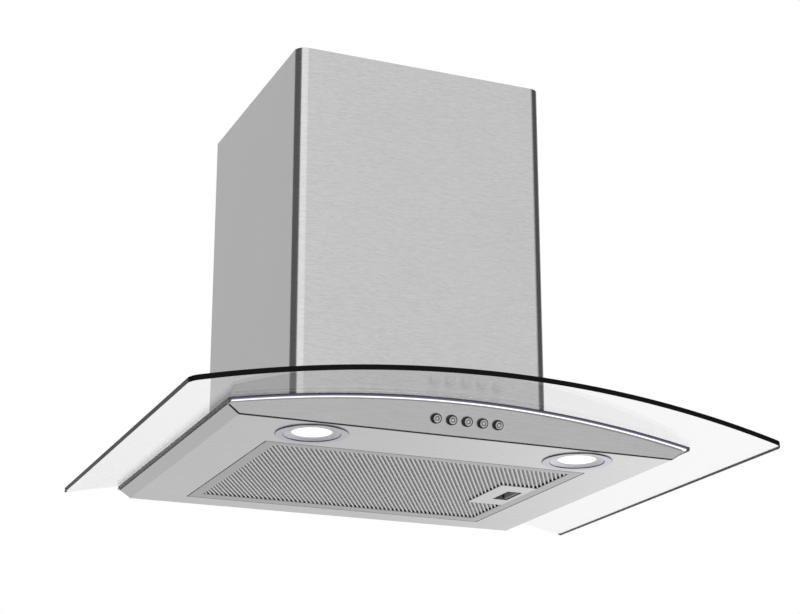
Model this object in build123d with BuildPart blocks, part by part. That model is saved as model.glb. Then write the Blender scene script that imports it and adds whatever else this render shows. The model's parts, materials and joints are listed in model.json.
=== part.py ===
from build123d import *
import os
from math import asin, cos, hypot, pi, radians, sin, sqrt

os.makedirs("parts", exist_ok=True)

# A wall-mounted chimney range hood with an arched glass canopy. Millimetres, +Z up, +X to the
# right seen from the front. The wall is the plane y = 0 and the room is towards -Y. The origin
# is midway between the two wall screws, and every height below is measured up from the sole.

# ---- driving dimensions ----
wall_screw_height = 120
wall_screw_inset = 20
wall_screw_hole = 4.0
keyhole_height = 262
keyhole_inset = 40
keyhole_head = 6.0
keyhole_neck = 3.0
keyhole_length = 9

glass_width = 600
glass_depth = 468
glass_bulge = 13
glass_thickness = 5
glass_rise = 32.8
glass_corner = 8
notch_gap = 4

sheet = 1.0
seal = 3.5
seal_width = 11
seal_overhang = 2.0

sole_width = 455
sole_depth = 382
sole_bend = 1.5
flare = 1.49
fascia_lean = 0.32
fascia_gap = 0.9
fascia_slot = 1.2
fascia_round = 0.5
trim_nose = 6.5
trim_tail = 10
trim_round = 0.8
trim_bevel = 1.8
trim_end = 3

button_count = 5
button_pitch = 16.25
button_radius = 4.8
button_shift = -1.3
button_height = 14.7
button_proud = 3.5
button_dish = 0.3
button_rim = 1.2
button_tail = 8.0
button_collar = 6.4
button_play = 0.3
button_travel = 2.5
switch_depth = 15
switch_height = 15

lamp_x = 141.7
lamp_setback = 42.5
lamp_ring = 35.5
lamp_step = 27.5
lamp_eye = 20.3
lamp_proud = 1.1
lamp_wall = 2.0
lamp_hole = 29
lamp_gap = 0.4
lamp_lens = 2.0
lamp_height = 13

driver_length = 45
driver_depth = 24
driver_height = 12
driver_x = -72.5

filter_width = 345
filter_depth = 262
filter_back = -34
filter_height = 9
filter_gap = 1.2
border_side = 12
border_front = 11
border_rear = 16.5
mesh_sheet = 1.5
mesh_gap = 0.2
tab_reach = 6
tab_width = 20
tab_spacing = 160

plate_width = 41.2
plate_depth = 87
plate_shift = -4.5
recess_inset = 5
recess_width = 17.5
recess_depth = 39
recess_height = 7
recess_wall = 0.8
latch_travel = 5
latch_play = 0.3
latch_width = 9
latch_thickness = 2
latch_height = 2.1
latch_grip = 2.5

housing_side_gap = 27
housing_front_gap = 34
housing_height = 290
housing_flange = 12
housing_lip = 12
top_sheet = 1.2

fan_y = -135
fan_z = 145
scroll_width = 104
scroll_wall = 2.0
scroll_start_gap = 4
scroll_end_gap = 25
scroll_cutoff = 60
inlet_lip = 4

wheel_radius = 75
blade_ring = 13
wheel_width = 92
wheel_hub = 12
blade_count = 36
blade_chord = 12
blade_pitch = 35
shaft_radius = 4.0
bearing_gap = 0.05

motor_radius = 42
motor_length = 60
motor_left = -68
bearing_radius = 11
bearing_width = 7
band_thickness = 2.5
band_width = 16
arm_width = 12
arm_tip = 5
mount_margin = 6
grommet_radius = 5.5
grommet_height = 3

collar_bore = 72
collar_wall = 2.5
collar_height = 60
collar_flange_width = 13.5
collar_flange_sheet = 1.5
collar_bolt_margin = 5.5
ledge_width = 3
ledge_height = 9
pin_radius = 1.5
pin_height = 11.5
pin_fit = 0.08
flap_gap = 1.5
flap_sheet = 1.0
knuckle_radius = 3.0
knuckle_end = 9
knuckle_gap = 2

chimney_width = 284
chimney_depth = 280
chimney_top = 434
chimney_bend = 12
chimney_gap = 1.0
chimney_lip = 14
chimney_inset = 3
chimney_lift = 2.2
bracket_height = 26
bracket_drop = 34
bracket_sheet = 1.5
bracket_hole = 2.75
bracket_spacing = 160

screw_radius = 2.0
screw_head = 3.8
screw_head_height = 2.2
clamp_radius = 2.0
clamp_hole = 3.0

gland_inset = 30
gland_y = -45
gland_bore = 4.5
gland_thread = 8.0
gland_hex = 12

lead_radius = 2.5
lamp_lead_radius = 1.5

# ---- shared geometry ----
sole_z = -wall_screw_height
arch_radius = (glass_width**2 / 4 + glass_rise**2) / (2 * glass_rise)
arch_centre = glass_rise - arch_radius
panel_under = -seal - sheet
lean_length = hypot(1, fascia_lean)
lamp_y = lamp_setback - sole_depth
housing_width = chimney_width - 2 * housing_side_gap
housing_depth = chimney_depth - housing_front_gap


def level(height):
    """Horizontal plane at a height above the sole."""
    return Plane.XY.offset(sole_z + height)


def facing(depth):
    """Upright plane facing the room; its sketches use x and the height above the sole."""
    return Plane(origin=(0, depth, sole_z), x_dir=(1, 0, 0), z_dir=(0, -1, 0))


def side_on(x):
    """Upright plane facing right; its sketches use y and the height above the sole."""
    return Plane(origin=(x, 0, sole_z), x_dir=(0, 1, 0), z_dir=(1, 0, 0))


def point(x, y, height):
    """A point given by its height above the sole."""
    return (x, y, sole_z + height)


def on_arch(x, y, rise):
    """Plane square to the arch at x of the glass underside, at a rise above it."""
    tilt = asin(x / arch_radius)
    up = (sin(tilt), 0, cos(tilt))
    along = (cos(tilt), 0, -sin(tilt))
    reach = arch_radius + rise
    return Plane(origin=point(reach * up[0], y, arch_centre + reach * up[2]), x_dir=along, z_dir=up)


def flare_end(rise):
    """Half width at which the flared side meets the arch, a distance above the glass underside."""
    square = flare**2 + 1
    linear = 2 * (sole_width / 2 * flare - arch_centre)
    rest = (sole_width / 2) ** 2 + arch_centre**2 - (arch_radius + rise) ** 2
    height = (-linear + sqrt(linear**2 - 4 * square * rest)) / (2 * square)
    return sole_width / 2 + flare * height


panel_half = flare_end(panel_under) + 0.8
seal_half = panel_half + seal_overhang
fascia_front = Plane(
    origin=point(0, -sole_depth, 0), x_dir=(1, 0, 0), z_dir=(0, -1, -fascia_lean)
)
fascia_back = fascia_front.offset(-sheet)
trim_front = fascia_front.offset(trim_nose)
trim_back = fascia_front.offset(-trim_tail)
trim_half = seal_half - trim_end
shell_front = fascia_back.offset(-fascia_slot)


def arch_strip(low, high, half_width):
    """Draws, on a plane facing the room, the arch between two rises above the glass underside."""
    with Locations((0, arch_centre)):
        Circle(arch_radius + high)
        Circle(arch_radius + low, mode=Mode.SUBTRACT)
    Rectangle(2 * half_width, 4 * glass_rise, mode=Mode.INTERSECT)


def under_arch(rise, mode):
    """Everything below the arch, at a rise above the glass underside."""
    with Locations(point(0, -glass_depth / 2, arch_centre)):
        Cylinder(arch_radius + rise, 2 * glass_depth, rotation=(90, 0, 0), mode=mode)


def tray_outline(inset):
    """Draws the sole and its flared sides, tall enough for the arch to trim."""
    tall = 2 * glass_rise
    slant = inset * hypot(1, flare)
    low = sole_width / 2 + flare * inset - slant
    high = sole_width / 2 + flare * tall - slant
    Polygon((-high, tall), (-low, inset), (low, inset), (high, tall), align=None)


def screws(planes, radius, length, head, head_height, name):
    """A group of pan-head hex-socket screws, each standing on its plane."""
    with BuildPart() as group:
        for plane in planes:
            with BuildSketch(plane):
                Circle(head)
            extrude(amount=head_height)
            with BuildSketch(plane.offset(head_height)):
                RegularPolygon(radius=0.6 * radius + 0.6, side_count=6)
            extrude(amount=-0.6 * head_height, mode=Mode.SUBTRACT)
            with BuildSketch(plane):
                Circle(radius)
            extrude(amount=-length)
    group.part.label = name
    return group.part


def rings(planes, outer, inner, height, name):
    """A group of washers or grommets, each standing on its plane."""
    with BuildPart() as group:
        for plane in planes:
            with BuildSketch(plane):
                Circle(outer)
                Circle(inner, mode=Mode.SUBTRACT)
            extrude(amount=height)
    group.part.label = name
    return group.part


def lead(name, points, radii, radius):
    """An insulated lead: straight runs joined by tangent arcs."""
    with BuildPart() as cable:
        with BuildLine() as route:
            FilletPolyline(points, radius=radii)
        path = route.wire()
        with BuildSketch(Plane(origin=path @ 0, z_dir=path % 0)):
            Circle(radius)
        sweep(path=path)
    cable.part.label = name
    filled = cable.part.volume / (pi * radius**2 * path.length)
    print(f"{name}: length {path.length:.1f} mm, arc radii {radii}, volume ratio {filled:.4f}")
    return cable.part


# ---- glass canopy ----
notch_half = housing_width / 2 + notch_gap
notch_depth = housing_depth + notch_gap
clamp_front = -(notch_depth + chimney_depth) / 2 + 2
clamp_side = (notch_half + chimney_width / 2) / 2 - 2
clamp_spots = [
    (x, y)
    for x, y in (
        (60, clamp_front),
        (clamp_side, -60),
        (clamp_side, -200),
        (-60, clamp_front),
        (-clamp_side, -60),
        (-clamp_side, -200),
    )
]

with BuildPart() as glass_canopy:
    with BuildSketch(level(-glass_rise)) as plan:
        with BuildLine():
            Polyline(
                (-glass_width / 2, -glass_depth),
                (-glass_width / 2, 0),
                (glass_width / 2, 0),
                (glass_width / 2, -glass_depth),
            )
            ThreePointArc(
                (glass_width / 2, -glass_depth),
                (0, -glass_depth - glass_bulge),
                (-glass_width / 2, -glass_depth),
            )
        make_face()
        fillet(plan.vertices().group_by(Axis.Y)[0], glass_corner)
        with Locations((0, -notch_depth / 2)):
            Rectangle(2 * notch_half, notch_depth, mode=Mode.SUBTRACT)
    extrude(amount=4 * glass_rise)
    with BuildSketch(facing(sheet)):
        arch_strip(0, glass_thickness, glass_width)
    extrude(amount=glass_depth + 2 * glass_bulge, mode=Mode.INTERSECT)
    for spot in clamp_spots:
        with BuildSketch(on_arch(*spot, -1)):
            Circle(clamp_hole)
        extrude(amount=glass_thickness + 2, mode=Mode.SUBTRACT)
glass_canopy.part.label = "glass_canopy"

# ---- sealing strips and front trim ----
with BuildPart() as front_trim:
    with BuildSketch(facing(-sole_depth + 2 * glass_rise)):
        arch_strip(-seal, 0, trim_half)
    extrude(amount=4 * glass_rise)
    split(bisect_by=trim_front, keep=Keep.BOTTOM)
    nose = front_trim.faces().filter_by(lambda f: f.center().Y < -sole_depth).sort_by(Axis.Y)[0]
    chamfer(nose.edges().filter_by(lambda e: e.length > sole_width).sort_by(Axis.Z)[0], trim_bevel)
    nose = front_trim.faces().filter_by(lambda f: f.center().Y < -sole_depth).sort_by(Axis.Y)[0]
    fillet(nose.edges().filter_by(lambda e: e.length > sole_width).sort_by(Axis.Z)[-1], trim_round)
    split(bisect_by=trim_back, keep=Keep.TOP)
front_trim.part.label = "front_trim"


def side_seal(side, name):
    """The rubber strip between the top panel and the glass along one side."""
    with BuildPart() as strip:
        with BuildSketch(facing(0)):
            arch_strip(-seal, 0, seal_half)
            with Locations((side * (seal_half - seal_width / 2), 0)):
                Rectangle(seal_width, 4 * glass_rise, mode=Mode.INTERSECT)
        extrude(amount=glass_depth)
        split(bisect_by=trim_front, keep=Keep.BOTTOM)
        with BuildSketch(trim_back):
            Rectangle(2 * trim_half, 4 * glass_rise)
        extrude(amount=glass_depth, mode=Mode.SUBTRACT)
    strip.part.label = name
    return strip.part


side_seal_left = side_seal(-1, "side_seal_left")
side_seal_right = side_seal(1, "side_seal_right")

with BuildPart() as rear_seal:
    with BuildSketch(facing(0)):
        arch_strip(-seal, 0, seal_half - seal_width)
        Rectangle(2 * notch_half, 4 * glass_rise, mode=Mode.SUBTRACT)
    extrude(amount=seal_width / 2)
rear_seal.part.label = "rear_seal"

# ---- body: sole tray, fascia and top panel ----
filter_y = filter_back - filter_depth / 2
opening_width = filter_width + 2 * filter_gap
opening_depth = filter_depth + 2 * filter_gap
lamp_spots = [(-lamp_x, lamp_y), (lamp_x, lamp_y)]

with BuildPart() as body_shell:
    with BuildSketch(facing(0)) as outer:
        tray_outline(0)
        fillet(outer.vertices().group_by(Axis.Z)[0], sole_bend + sheet)
    extrude(amount=glass_depth)
    under_arch(panel_under, Mode.INTERSECT)
    with BuildSketch(facing(-sheet)) as inner:
        tray_outline(sheet)
        fillet(inner.vertices().group_by(Axis.Z)[0], sole_bend)
    extrude(amount=glass_depth, mode=Mode.SUBTRACT)
    split(bisect_by=shell_front, keep=Keep.BOTTOM)
    with BuildSketch(level(0)):
        with Locations((0, filter_y)):
            Rectangle(opening_width, opening_depth)
        with Locations(*lamp_spots):
            Circle(lamp_hole)
    extrude(amount=sheet, mode=Mode.SUBTRACT)
body_shell.part.label = "body_shell"

button_x = [button_shift + (i - (button_count - 1) / 2) * button_pitch for i in range(button_count)]
button_v = button_height * lean_length
button_spots = [(x, button_v) for x in button_x]

with BuildPart() as fascia:
    with BuildSketch(facing(-sole_depth + 2 * glass_rise)) as outline:
        tray_outline(fascia_gap)
        fillet(outline.vertices().group_by(Axis.Z)[0], sole_bend + sheet)
    extrude(amount=4 * glass_rise)
    under_arch(-seal, Mode.INTERSECT)
    split(bisect_by=fascia_front, keep=Keep.BOTTOM)
    split(bisect_by=fascia_back, keep=Keep.TOP)
    face = fascia.faces().sort_by(Axis.Y)[0]
    fillet(face.edges().filter_by(lambda e: e.length < sole_width), fascia_round)
    with BuildSketch(fascia_front):
        with Locations(*button_spots):
            Circle(button_radius + button_play)
    extrude(amount=-2 * sheet, mode=Mode.SUBTRACT)
fascia.part.label = "fascia"

flange_inner_x = housing_width / 2 - housing_flange
flange_inner_front = -housing_depth + housing_flange
base_x = housing_width / 2 - sheet - (housing_flange - sheet) / 2
base_front = -housing_depth + sheet + (housing_flange - sheet) / 2
base_spots = [
    (-base_x, -40),
    (-base_x, -200),
    (base_x, -40),
    (base_x, -200),
    (-50, base_front),
    (50, base_front),
]

with BuildPart() as top_panel:
    with BuildSketch(facing(0)):
        arch_strip(panel_under, -seal, panel_half)
    extrude(amount=glass_depth)
    split(bisect_by=fascia_back, keep=Keep.BOTTOM)
    with BuildSketch(level(0)):
        with Locations((0, (flange_inner_front - housing_flange) / 2)):
            Rectangle(2 * flange_inner_x, -flange_inner_front - housing_flange)
    extrude(amount=2 * glass_rise, mode=Mode.SUBTRACT)
    for spot in clamp_spots + base_spots:
        with BuildSketch(on_arch(*spot, panel_under - 1)):
            Circle(clamp_radius + 0.2)
        extrude(amount=sheet + 2, mode=Mode.SUBTRACT)
top_panel.part.label = "top_panel"

# ---- glass clamps: screw, washer, spacer and nut at each hole ----
clamp_washer = 1.5
nut_height = 3.2
glass_top = [on_arch(*spot, glass_thickness) for spot in clamp_spots]
washer_top = [on_arch(*spot, glass_thickness + clamp_washer) for spot in clamp_spots]
clamp_length = clamp_washer + glass_thickness + seal + sheet + nut_height + 1
glass_washers = rings(glass_top, 6, clamp_radius + 0.1, clamp_washer, "glass_washers")
glass_screws = screws(washer_top, clamp_radius, clamp_length, 4, 2.4, "glass_screws")

with BuildPart() as glass_spacers:
    for spot in clamp_spots:
        with BuildSketch(on_arch(*spot, -seal - 1)):
            Circle(6)
            Circle(clamp_radius + 0.1, mode=Mode.SUBTRACT)
        extrude(amount=seal + 2)
    with BuildSketch(facing(0)):
        arch_strip(-seal, 0, seal_half)
    extrude(amount=glass_depth, mode=Mode.INTERSECT)
glass_spacers.part.label = "glass_spacers"

with BuildPart() as glass_nuts:
    for spot in clamp_spots:
        with BuildSketch(on_arch(*spot, panel_under - 0.02)):
            RegularPolygon(radius=4, side_count=6)
            Circle(clamp_radius, mode=Mode.SUBTRACT)
        extrude(amount=-nut_height)
glass_nuts.part.label = "glass_nuts"


# ---- push buttons and switch block ----
dish_half = button_radius - button_rim
dish_radius = (dish_half**2 + button_dish**2) / (2 * button_dish)
dish_centre = dish_radius - button_dish


def push_button(x, name):
    """A round cap that slides through the fascia, with a collar behind it."""
    with BuildPart() as button:
        with BuildSketch(fascia_front.offset(button_proud)):
            with Locations((x, button_v)):
                Circle(button_radius)
        extrude(amount=-button_proud - button_tail)
        rim = button.edges().filter_by(GeomType.CIRCLE).sort_by(Axis.Y)[0]
        fillet(rim, 0.6)
        with Locations(fascia_front.from_local_coords((x, button_v, button_proud + dish_centre))):
            Sphere(dish_radius, mode=Mode.SUBTRACT)
        with BuildSketch(fascia_back.offset(-button_play)):
            with Locations((x, button_v)):
                Circle(button_collar)
        extrude(amount=-sheet)
    button.part.label = name
    return button.part


button_names = ["button_lamp", "button_off", "button_speed_1", "button_speed_2", "button_speed_3"]
buttons = [push_button(x, name) for x, name in zip(button_x, button_names)]

switch_width = (button_count - 1) * button_pitch + 2 * button_collar + 6
socket_depth = button_play + sheet + button_travel + 1

with BuildPart() as switch_block:
    with BuildSketch(fascia_back):
        with Locations((0, button_v)):
            Rectangle(switch_width, switch_height)
    extrude(amount=-switch_depth)
    with BuildSketch(fascia_back):
        with Locations(*button_spots):
            Circle(button_collar + button_play)
    extrude(amount=-socket_depth, mode=Mode.SUBTRACT)
    with BuildSketch(fascia_back):
        with Locations(*button_spots):
            Circle(button_radius + button_play)
    extrude(amount=sheet - button_tail - button_travel - 1, mode=Mode.SUBTRACT)
switch_block.part.label = "switch_block"


# ---- lamps ----
collar_radius = lamp_hole - lamp_gap
seat_height = lamp_lens / 2 + 0.6


def lamp_bezel(x, name):
    """The pressed ring that shows below the sole, with the collar that goes up through it."""
    with BuildPart() as bezel:
        with BuildSketch(Plane(origin=point(x, lamp_y, 0), x_dir=(1, 0, 0), z_dir=(0, -1, 0))):
            Polygon(
                (lamp_eye, seat_height),
                (lamp_eye, seat_height - 0.8),
                (lamp_step, -lamp_proud + 0.7),
                (lamp_step + 0.5, -lamp_proud),
                (lamp_ring - 0.8, -lamp_proud),
                (lamp_ring, -lamp_proud + 0.7),
                (lamp_ring, 0),
                (collar_radius, 0),
                (collar_radius, 6),
                (collar_radius - lamp_wall, 6),
                (collar_radius - lamp_wall, seat_height),
                align=None,
            )
        revolve(axis=Axis(point(x, lamp_y, 0), (0, 0, 1)))
    bezel.part.label = name
    return bezel.part


def lamp_disc(x, name):
    """The frosted disc that the lamp shines through."""
    with BuildPart() as lens:
        with BuildSketch(level(seat_height)):
            with Locations((x, lamp_y)):
                Circle(collar_radius - lamp_wall - 0.1)
        extrude(amount=lamp_lens)
    lens.part.label = name
    return lens.part


def lamp_puck(x, name):
    """The light module behind the disc, with cooling grooves and a boss for its lead."""
    inner_side = -1 if x > 0 else 1
    with BuildPart() as puck:
        with BuildSketch(level(seat_height + lamp_lens)):
            with Locations((x, lamp_y)):
                Circle(collar_radius - lamp_wall - 0.1)
        extrude(amount=6 - seat_height - lamp_lens)
        with BuildSketch(level(6)):
            with Locations((x, lamp_y)):
                Circle(collar_radius)
            with Locations((x + inner_side * collar_radius, lamp_y)):
                Rectangle(9, 11)
        extrude(amount=lamp_height - 6)
        with BuildSketch(level(lamp_height)):
            with Locations((x, lamp_y)):
                with GridLocations(6, 0, 7, 1):
                    Rectangle(2, 36)
        extrude(amount=-3, mode=Mode.SUBTRACT)
    puck.part.label = name
    return puck.part


lamp_parts = []
for side, word in ((-1, "left"), (1, "right")):
    lamp_parts.append(lamp_bezel(side * lamp_x, f"lamp_bezel_{word}"))
    lamp_parts.append(lamp_disc(side * lamp_x, f"lamp_lens_{word}"))
    lamp_parts.append(lamp_puck(side * lamp_x, f"lamp_module_{word}"))

clip_foot = lamp_hole + 5
with BuildPart() as lamp_clips:
    for x in (-lamp_x, lamp_x):
        for side in (-1, 1):
            with BuildSketch(side_on(x - 3)):
                Polygon(
                    (lamp_y + side * collar_radius, 9.6),
                    (lamp_y + side * (collar_radius + 1.6), 9.6),
                    (lamp_y + side * clip_foot, sheet),
                    (lamp_y + side * (clip_foot - 0.8), sheet),
                    (lamp_y + side * (collar_radius + 1.1), 8.8),
                    (lamp_y + side * collar_radius, 8.8),
                    align=None,
                )
            extrude(amount=6)
lamp_clips.part.label = "lamp_clips"

with BuildPart() as led_driver:
    with BuildSketch(level(sheet)) as block:
        with Locations((driver_x, lamp_y)):
            Rectangle(driver_length, driver_depth)
        fillet(block.vertices(), 2)
    extrude(amount=driver_height)
    chamfer(led_driver.faces().sort_by(Axis.Z)[-1].edges(), 1)
led_driver.part.label = "led_driver"

# ---- grease filter ----
window_width = filter_width - 2 * border_side
window_depth = filter_depth - border_front - border_rear
window_y = filter_y + (border_front - border_rear) / 2
window_right = window_width / 2
stem_low = latch_height - latch_play
stem_gap = latch_thickness + 2 * latch_play
stem_y = filter_y + plate_shift
recess_right = window_right - recess_inset
recess_x = recess_right - recess_width / 2
tongue_end = filter_width / 2 + filter_gap - 0.5

with BuildPart() as filter_frame:
    with BuildSketch(level(0)) as plan:
        with Locations((0, filter_y)):
            Rectangle(filter_width, filter_depth)
        fillet(plan.vertices(), 2)
    extrude(amount=filter_height)
    with BuildSketch(level(sheet)):
        with Locations((0, filter_y)):
            Rectangle(filter_width - 2 * sheet, filter_depth - 2 * sheet)
    extrude(amount=filter_height - 2 * sheet, mode=Mode.SUBTRACT)
    with BuildSketch(level(0)):
        with Locations((0, window_y)):
            Rectangle(window_width, window_depth)
    extrude(amount=filter_height, mode=Mode.SUBTRACT)
    with BuildSketch(level(sheet)):
        with Locations((-filter_width / 2 - (tab_reach - sheet) / 2, filter_y)):
            with GridLocations(0, tab_spacing, 1, 2):
                Rectangle(tab_reach + sheet, tab_width)
    extrude(amount=1.2)
    with BuildSketch(side_on(filter_width / 2 - 2 * sheet)):
        with Locations((stem_y, stem_low + stem_gap / 2)):
            Rectangle(latch_width + 2 * latch_play, stem_gap)
    extrude(amount=3 * sheet, mode=Mode.SUBTRACT)
filter_frame.part.label = "filter_frame"

with BuildPart() as filter_latch_plate:
    with BuildSketch(level(0)):
        with Locations((window_right - plate_width / 2, stem_y)):
            Rectangle(plate_width, plate_depth)
    extrude(amount=sheet)
    with BuildSketch(level(0)):
        with Locations((recess_x, stem_y)):
            Rectangle(recess_width + 2 * recess_wall, recess_depth + 2 * recess_wall)
    extrude(amount=recess_height + recess_wall)
    with BuildSketch(level(0)):
        with Locations((recess_x, stem_y)):
            Rectangle(recess_width, recess_depth)
    extrude(amount=recess_height, mode=Mode.SUBTRACT)
    with BuildSketch(side_on(recess_right - 0.5)):
        with Locations((stem_y, stem_low + stem_gap / 2)):
            Rectangle(latch_width + 2 * latch_play, stem_gap)
    extrude(amount=recess_wall + 1, mode=Mode.SUBTRACT)
filter_latch_plate.part.label = "filter_latch_plate"

grip_right = recess_right - 1.5
with BuildPart() as filter_latch:
    with BuildSketch(level(0.6)):
        with Locations((grip_right - latch_grip / 2, stem_y)):
            Rectangle(latch_grip, recess_depth - 6)
    extrude(amount=recess_height - 1.2)
    fillet(filter_latch.edges().filter_by(Axis.Y).group_by(Axis.Z)[0], 0.8)
    with BuildSketch(level(latch_height)):
        with Locations(((grip_right - 1 + tongue_end) / 2, stem_y)):
            Rectangle(tongue_end - grip_right + 1, latch_width)
    extrude(amount=latch_thickness)
filter_latch.part.label = "filter_latch"



def mesh_layer(low, name):
    """One expanded-metal sheet of the cassette, cut away round the latch."""
    with BuildPart() as layer:
        with BuildSketch(level(low)):
            with Locations((0, filter_y)):
                Rectangle(filter_width - 2 * sheet - mesh_gap, filter_depth - 2 * sheet - mesh_gap)
            with Locations((recess_x, stem_y)):
                Rectangle(
                    recess_width + 2 * recess_wall + mesh_gap,
                    recess_depth + 2 * recess_wall + mesh_gap,
                    mode=Mode.SUBTRACT,
                )
        extrude(amount=mesh_sheet)
        with BuildSketch(side_on(recess_right)):
            with Locations((stem_y, stem_low + stem_gap / 2)):
                Rectangle(latch_width + 2 * latch_play, stem_gap)
        extrude(amount=filter_width, mode=Mode.SUBTRACT)
    layer.part.label = name
    return layer.part


filter_mesh = mesh_layer(sheet, "filter_mesh")
filter_mesh_back = mesh_layer(filter_height - sheet - mesh_sheet, "filter_mesh_back")

# ---- blower housing ----
with BuildPart() as housing_hollow:
    with BuildSketch(level(0)):
        with Locations((0, -housing_depth / 2)):
            Rectangle(housing_width - 2 * sheet, housing_depth - 2 * sheet)
    extrude(amount=housing_height)
    under_arch(-seal + sheet, Mode.SUBTRACT)

screw_x = housing_width / 2 - wall_screw_inset
keyhole_x = housing_width / 2 - keyhole_inset
with BuildPart() as motor_housing:
    with BuildSketch(level(0)):
        with Locations((0, -housing_depth / 2)):
            Rectangle(housing_width, housing_depth)
    extrude(amount=housing_height)
    under_arch(-seal, Mode.SUBTRACT)
    add(housing_hollow.part, mode=Mode.SUBTRACT)
    with BuildSketch(level(0)):
        with Locations((0, (flange_inner_front - housing_flange) / 2)):
            Rectangle(2 * flange_inner_x, -flange_inner_front - housing_flange)
    extrude(amount=2 * glass_rise, mode=Mode.SUBTRACT)
    with BuildSketch(facing(0)):
        with Locations((-screw_x, wall_screw_height), (screw_x, wall_screw_height)):
            Circle(wall_screw_hole)
        with Locations((-keyhole_x, keyhole_height), (keyhole_x, keyhole_height)):
            Circle(keyhole_head)
            with Locations((0, keyhole_length / 2)):
                SlotCenterToCenter(keyhole_length, 2 * keyhole_neck, rotation=90)
    extrude(amount=2 * sheet, mode=Mode.SUBTRACT)
    for spot in base_spots:
        with BuildSketch(on_arch(*spot, -seal - 1)):
            Circle(screw_radius + 0.2)
        extrude(amount=sheet + 2, mode=Mode.SUBTRACT)
    with BuildSketch(side_on(-housing_width / 2)):
        with Locations((-60, housing_height - 6), (-186, housing_height - 6)):
            Circle(screw_radius + 0.2)
    extrude(amount=housing_width, mode=Mode.SUBTRACT)
motor_housing.part.label = "motor_housing"

base_planes = [on_arch(*spot, -seal + sheet) for spot in base_spots]
base_screws = screws(base_planes, screw_radius, 6, screw_head, screw_head_height, "base_screws")

collar_outer = collar_bore + collar_wall
collar_flange = collar_outer + collar_flange_width
collar_bolts = collar_outer + collar_bolt_margin
neck_half = collar_bore / sqrt(2) + scroll_wall
collar_angles = [45, 135, 225, 315]
collar_bolt_spots = [
    (collar_bolts * cos(radians(a)), fan_y + collar_bolts * sin(radians(a))) for a in collar_angles
]

gland_x = housing_width / 2 - gland_inset

with BuildPart() as housing_top:
    with BuildSketch(level(housing_height)):
        with Locations((0, -housing_depth / 2)):
            Rectangle(housing_width, housing_depth)
    extrude(amount=top_sheet)
    with BuildSketch(level(housing_height)):
        with Locations((0, -housing_depth / 2)):
            Rectangle(housing_width - 2 * sheet, housing_depth - 2 * sheet)
            Rectangle(housing_width - 4 * sheet, housing_depth - 4 * sheet, mode=Mode.SUBTRACT)
    extrude(amount=-housing_lip)
    with BuildSketch(level(housing_height)):
        with Locations((0, fan_y)):
            Rectangle(2 * (neck_half - scroll_wall) - 2, 2 * (neck_half - scroll_wall))
        with Locations(*collar_bolt_spots):
            Circle(screw_radius + 0.2)
        with Locations((gland_x, gland_y)):
            Circle(gland_thread + 0.2)
    extrude(amount=top_sheet, mode=Mode.SUBTRACT)
    with BuildSketch(side_on(-housing_width / 2)):
        with Locations((-60, housing_height - 6), (-186, housing_height - 6)):
            Circle(screw_radius + 0.2)
    extrude(amount=housing_width, mode=Mode.SUBTRACT)
housing_top.part.label = "housing_top"

lid_planes = []
for y in (-60, -186):
    for side in (-1, 1):
        spot = point(side * housing_width / 2, y, housing_height - 6)
        lid_planes.append(Plane(origin=spot, x_dir=(0, 1, 0), z_dir=(side, 0, 0)))
housing_screws = screws(lid_planes, screw_radius, 5, screw_head, screw_head_height, "housing_screws")


# ---- fan scroll ----
scroll_start = wheel_radius + scroll_start_gap
scroll_end = wheel_radius + scroll_end_gap
wheel_inner = wheel_radius - blade_ring
scroll_inlet = wheel_inner - inlet_lip
scroll_flange = collar_bolts / sqrt(2) + collar_bolt_margin


def spiral(angle):
    """A point of the scroll's outer spiral; the angle falls from the cut-off round to the front."""
    turned = (scroll_cutoff - angle) / (scroll_cutoff + 180)
    reach = scroll_start + (scroll_end - scroll_start) * turned
    return (fan_y + reach * cos(radians(angle)), fan_z + reach * sin(radians(angle)))


scroll_left = -scroll_width / 2
scroll_turns = [scroll_cutoff, 30, 0, -30, -60, -90, -120, -150, -180]
neck_low = housing_height - 36

with BuildPart() as fan_scroll:
    with BuildSketch(side_on(scroll_left)) as outline:
        with BuildLine():
            for i in range(0, len(scroll_turns) - 2, 2):
                ThreePointArc(*[spiral(a) for a in scroll_turns[i : i + 3]])
            Polyline(
                spiral(-180),
                (fan_y - scroll_end + 3, fan_z + 50),
                (fan_y - neck_half, neck_low),
                (fan_y - neck_half, housing_height),
                (fan_y + neck_half, housing_height),
                (fan_y + neck_half, neck_low),
                spiral(scroll_cutoff),
            )
        make_face()
    extrude(amount=scroll_width)
    with BuildSketch(side_on(scroll_left + scroll_wall)):
        offset(outline.sketch_local.face(), amount=-scroll_wall)
        with Locations((fan_y, housing_height)):
            Rectangle(2 * (neck_half - scroll_wall), 4 * scroll_wall)
    extrude(amount=scroll_width - 2 * scroll_wall, mode=Mode.SUBTRACT)
    with BuildSketch(side_on(scroll_left)):
        with Locations((fan_y, fan_z)):
            Circle(scroll_inlet)
    extrude(amount=scroll_width, mode=Mode.SUBTRACT)
    with BuildSketch(level(housing_height - scroll_wall)):
        with Locations((0, fan_y)):
            Rectangle(2 * scroll_flange, 2 * scroll_flange)
            Rectangle(
                scroll_width - 2 * scroll_wall, 2 * (neck_half - scroll_wall), mode=Mode.SUBTRACT
            )
    extrude(amount=scroll_wall)
    with BuildSketch(level(housing_height)):
        with Locations(*collar_bolt_spots):
            Circle(screw_radius)
    extrude(amount=-scroll_wall, mode=Mode.SUBTRACT)
fan_scroll.part.label = "fan_scroll"

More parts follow.
